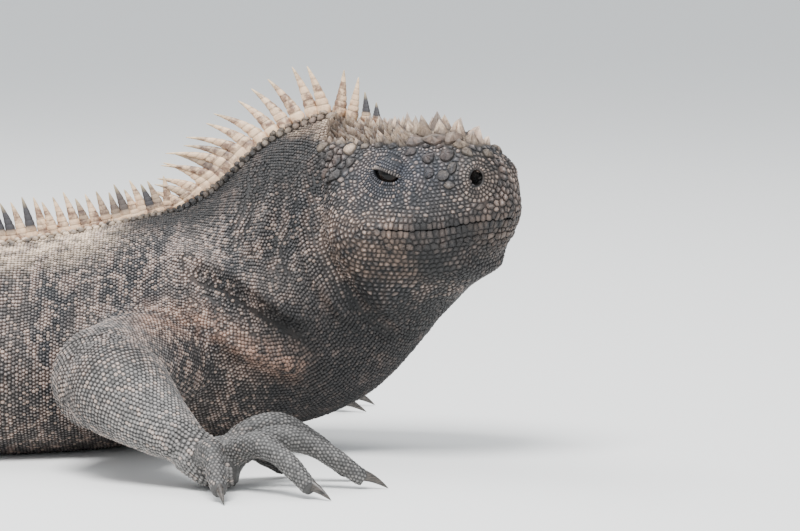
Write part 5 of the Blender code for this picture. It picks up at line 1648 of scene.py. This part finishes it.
wet_eye, tree, shader, _ = begin_material("wet_eye", 0.06, 1.33)
gaze = add_node(tree, "ShaderNodeAttribute", attribute_name="gaze")
ramp = add_node(tree, "ShaderNodeValToRGB", {"Fac": gaze.outputs["Fac"]})
ramp.color_ramp.elements[0].position, ramp.color_ramp.elements[0].color = 0.78, linear("#0d0c0b")
ramp.color_ramp.elements[1].position, ramp.color_ramp.elements[1].color = 0.98, linear("#070708")
iris = ramp.color_ramp.elements.new(0.9)
iris.color = linear("#1d1713")
tree.links.new(ramp.outputs["Color"], shader.inputs["Base Color"])
shader.inputs["Specular IOR Level"].default_value = 0.35
for node, piece in eyes.items():
    piece.data.materials.append(wet_eye)
    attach(piece, "root")
    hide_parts(node)

# Claw horn: nearly black, half polished by rock, with a grain along the claw.

claw_horn, tree, shader, where = begin_material("dark_claw_horn", 0.42, 1.54)
stretch = add_node(tree, "ShaderNodeMapping", {"Vector": where, "Scale": (500.0, 900.0, 1800.0)})
grain = add_node(tree, "ShaderNodeTexNoise", {"Vector": stretch.outputs["Vector"], "Scale": 1.0, "Detail": 4.0})
tone = add_node(tree, "ShaderNodeMapRange", {"Value": grain.outputs["Fac"], "From Min": 0.35, "From Max": 0.7})
mixed = add_node(
    tree, "ShaderNodeMix", {MIX_FACTOR: tone.outputs[0], MIX_A: linear("#1d1b1a"), MIX_B: linear("#57504a")},
    data_type="RGBA",
)
tree.links.new(mixed.outputs[MIX_RESULT], shader.inputs["Base Color"])
bump = add_node(tree, "ShaderNodeBump", {"Height": grain.outputs["Fac"], "Strength": 0.3, "Distance": 0.0002})
tree.links.new(bump.outputs["Normal"], shader.inputs["Normal"])
for piece in claw_pieces:
    piece.data.materials.append(claw_horn)

# The studio: a pale matt floor, an even pale surround and two large soft lights.

FLOOR_REACH = 30000
corners = [(x * FLOOR_REACH, y * FLOOR_REACH, 0) for x, y in ((-1, -1), (1, -1), (1, 1), (-1, 1))]
floor = mesh_object("floor", corners, [(0, 1, 2, 3)], smooth=False)
card = bpy.data.materials.new("matt_pale_floor")
card.use_nodes = True
card_shader = card.node_tree.nodes["Principled BSDF"]
card_shader.inputs["Base Color"].default_value = linear("#f0f0ee")
card_shader.inputs["Roughness"].default_value = 0.9
floor.data.materials.append(card)

world = bpy.data.worlds.new("surround")
bpy.context.scene.world = world
world.use_nodes = True
world.node_tree.nodes["Background"].inputs["Color"].default_value = linear("#e8edf2")
world.node_tree.nodes["Background"].inputs["Strength"].default_value = 1.2
for name, place, size, power in (
    ("key", (-0.1, -0.7, 1.5), 0.7, 48.0),
    ("rim", (-0.6, 0.9, 1.3), 1.0, 16.0),
):
    lamp = bpy.data.lights.new(name, "AREA")
    lamp.size, lamp.energy = size, power
    holder = bpy.data.objects.new(name, lamp)
    holder.location = place
    holder.rotation_euler = (Vector((0.15, 0, 0.05)) - Vector(place)).to_track_quat("-Z", "Y").to_euler()
    bpy.context.scene.collection.objects.link(holder)

CAMERA_AIM, CAMERA_AWAY, CAMERA_DOWN = Vector((0.210, 0, 0.0635)), 1.6, math.radians(5.0)
camera = bpy.data.cameras.new("camera")
camera.sensor_width, camera.lens, camera.clip_end = 36.0, 205.0, 80.0
stand = bpy.data.objects.new("camera", camera)
way = Vector((0, math.cos(CAMERA_DOWN), -math.sin(CAMERA_DOWN)))
stand.location = CAMERA_AIM - way * CAMERA_AWAY
stand.rotation_euler = way.to_track_quat("-Z", "Y").to_euler()
bpy.context.scene.collection.objects.link(stand)
bpy.context.scene.camera = stand
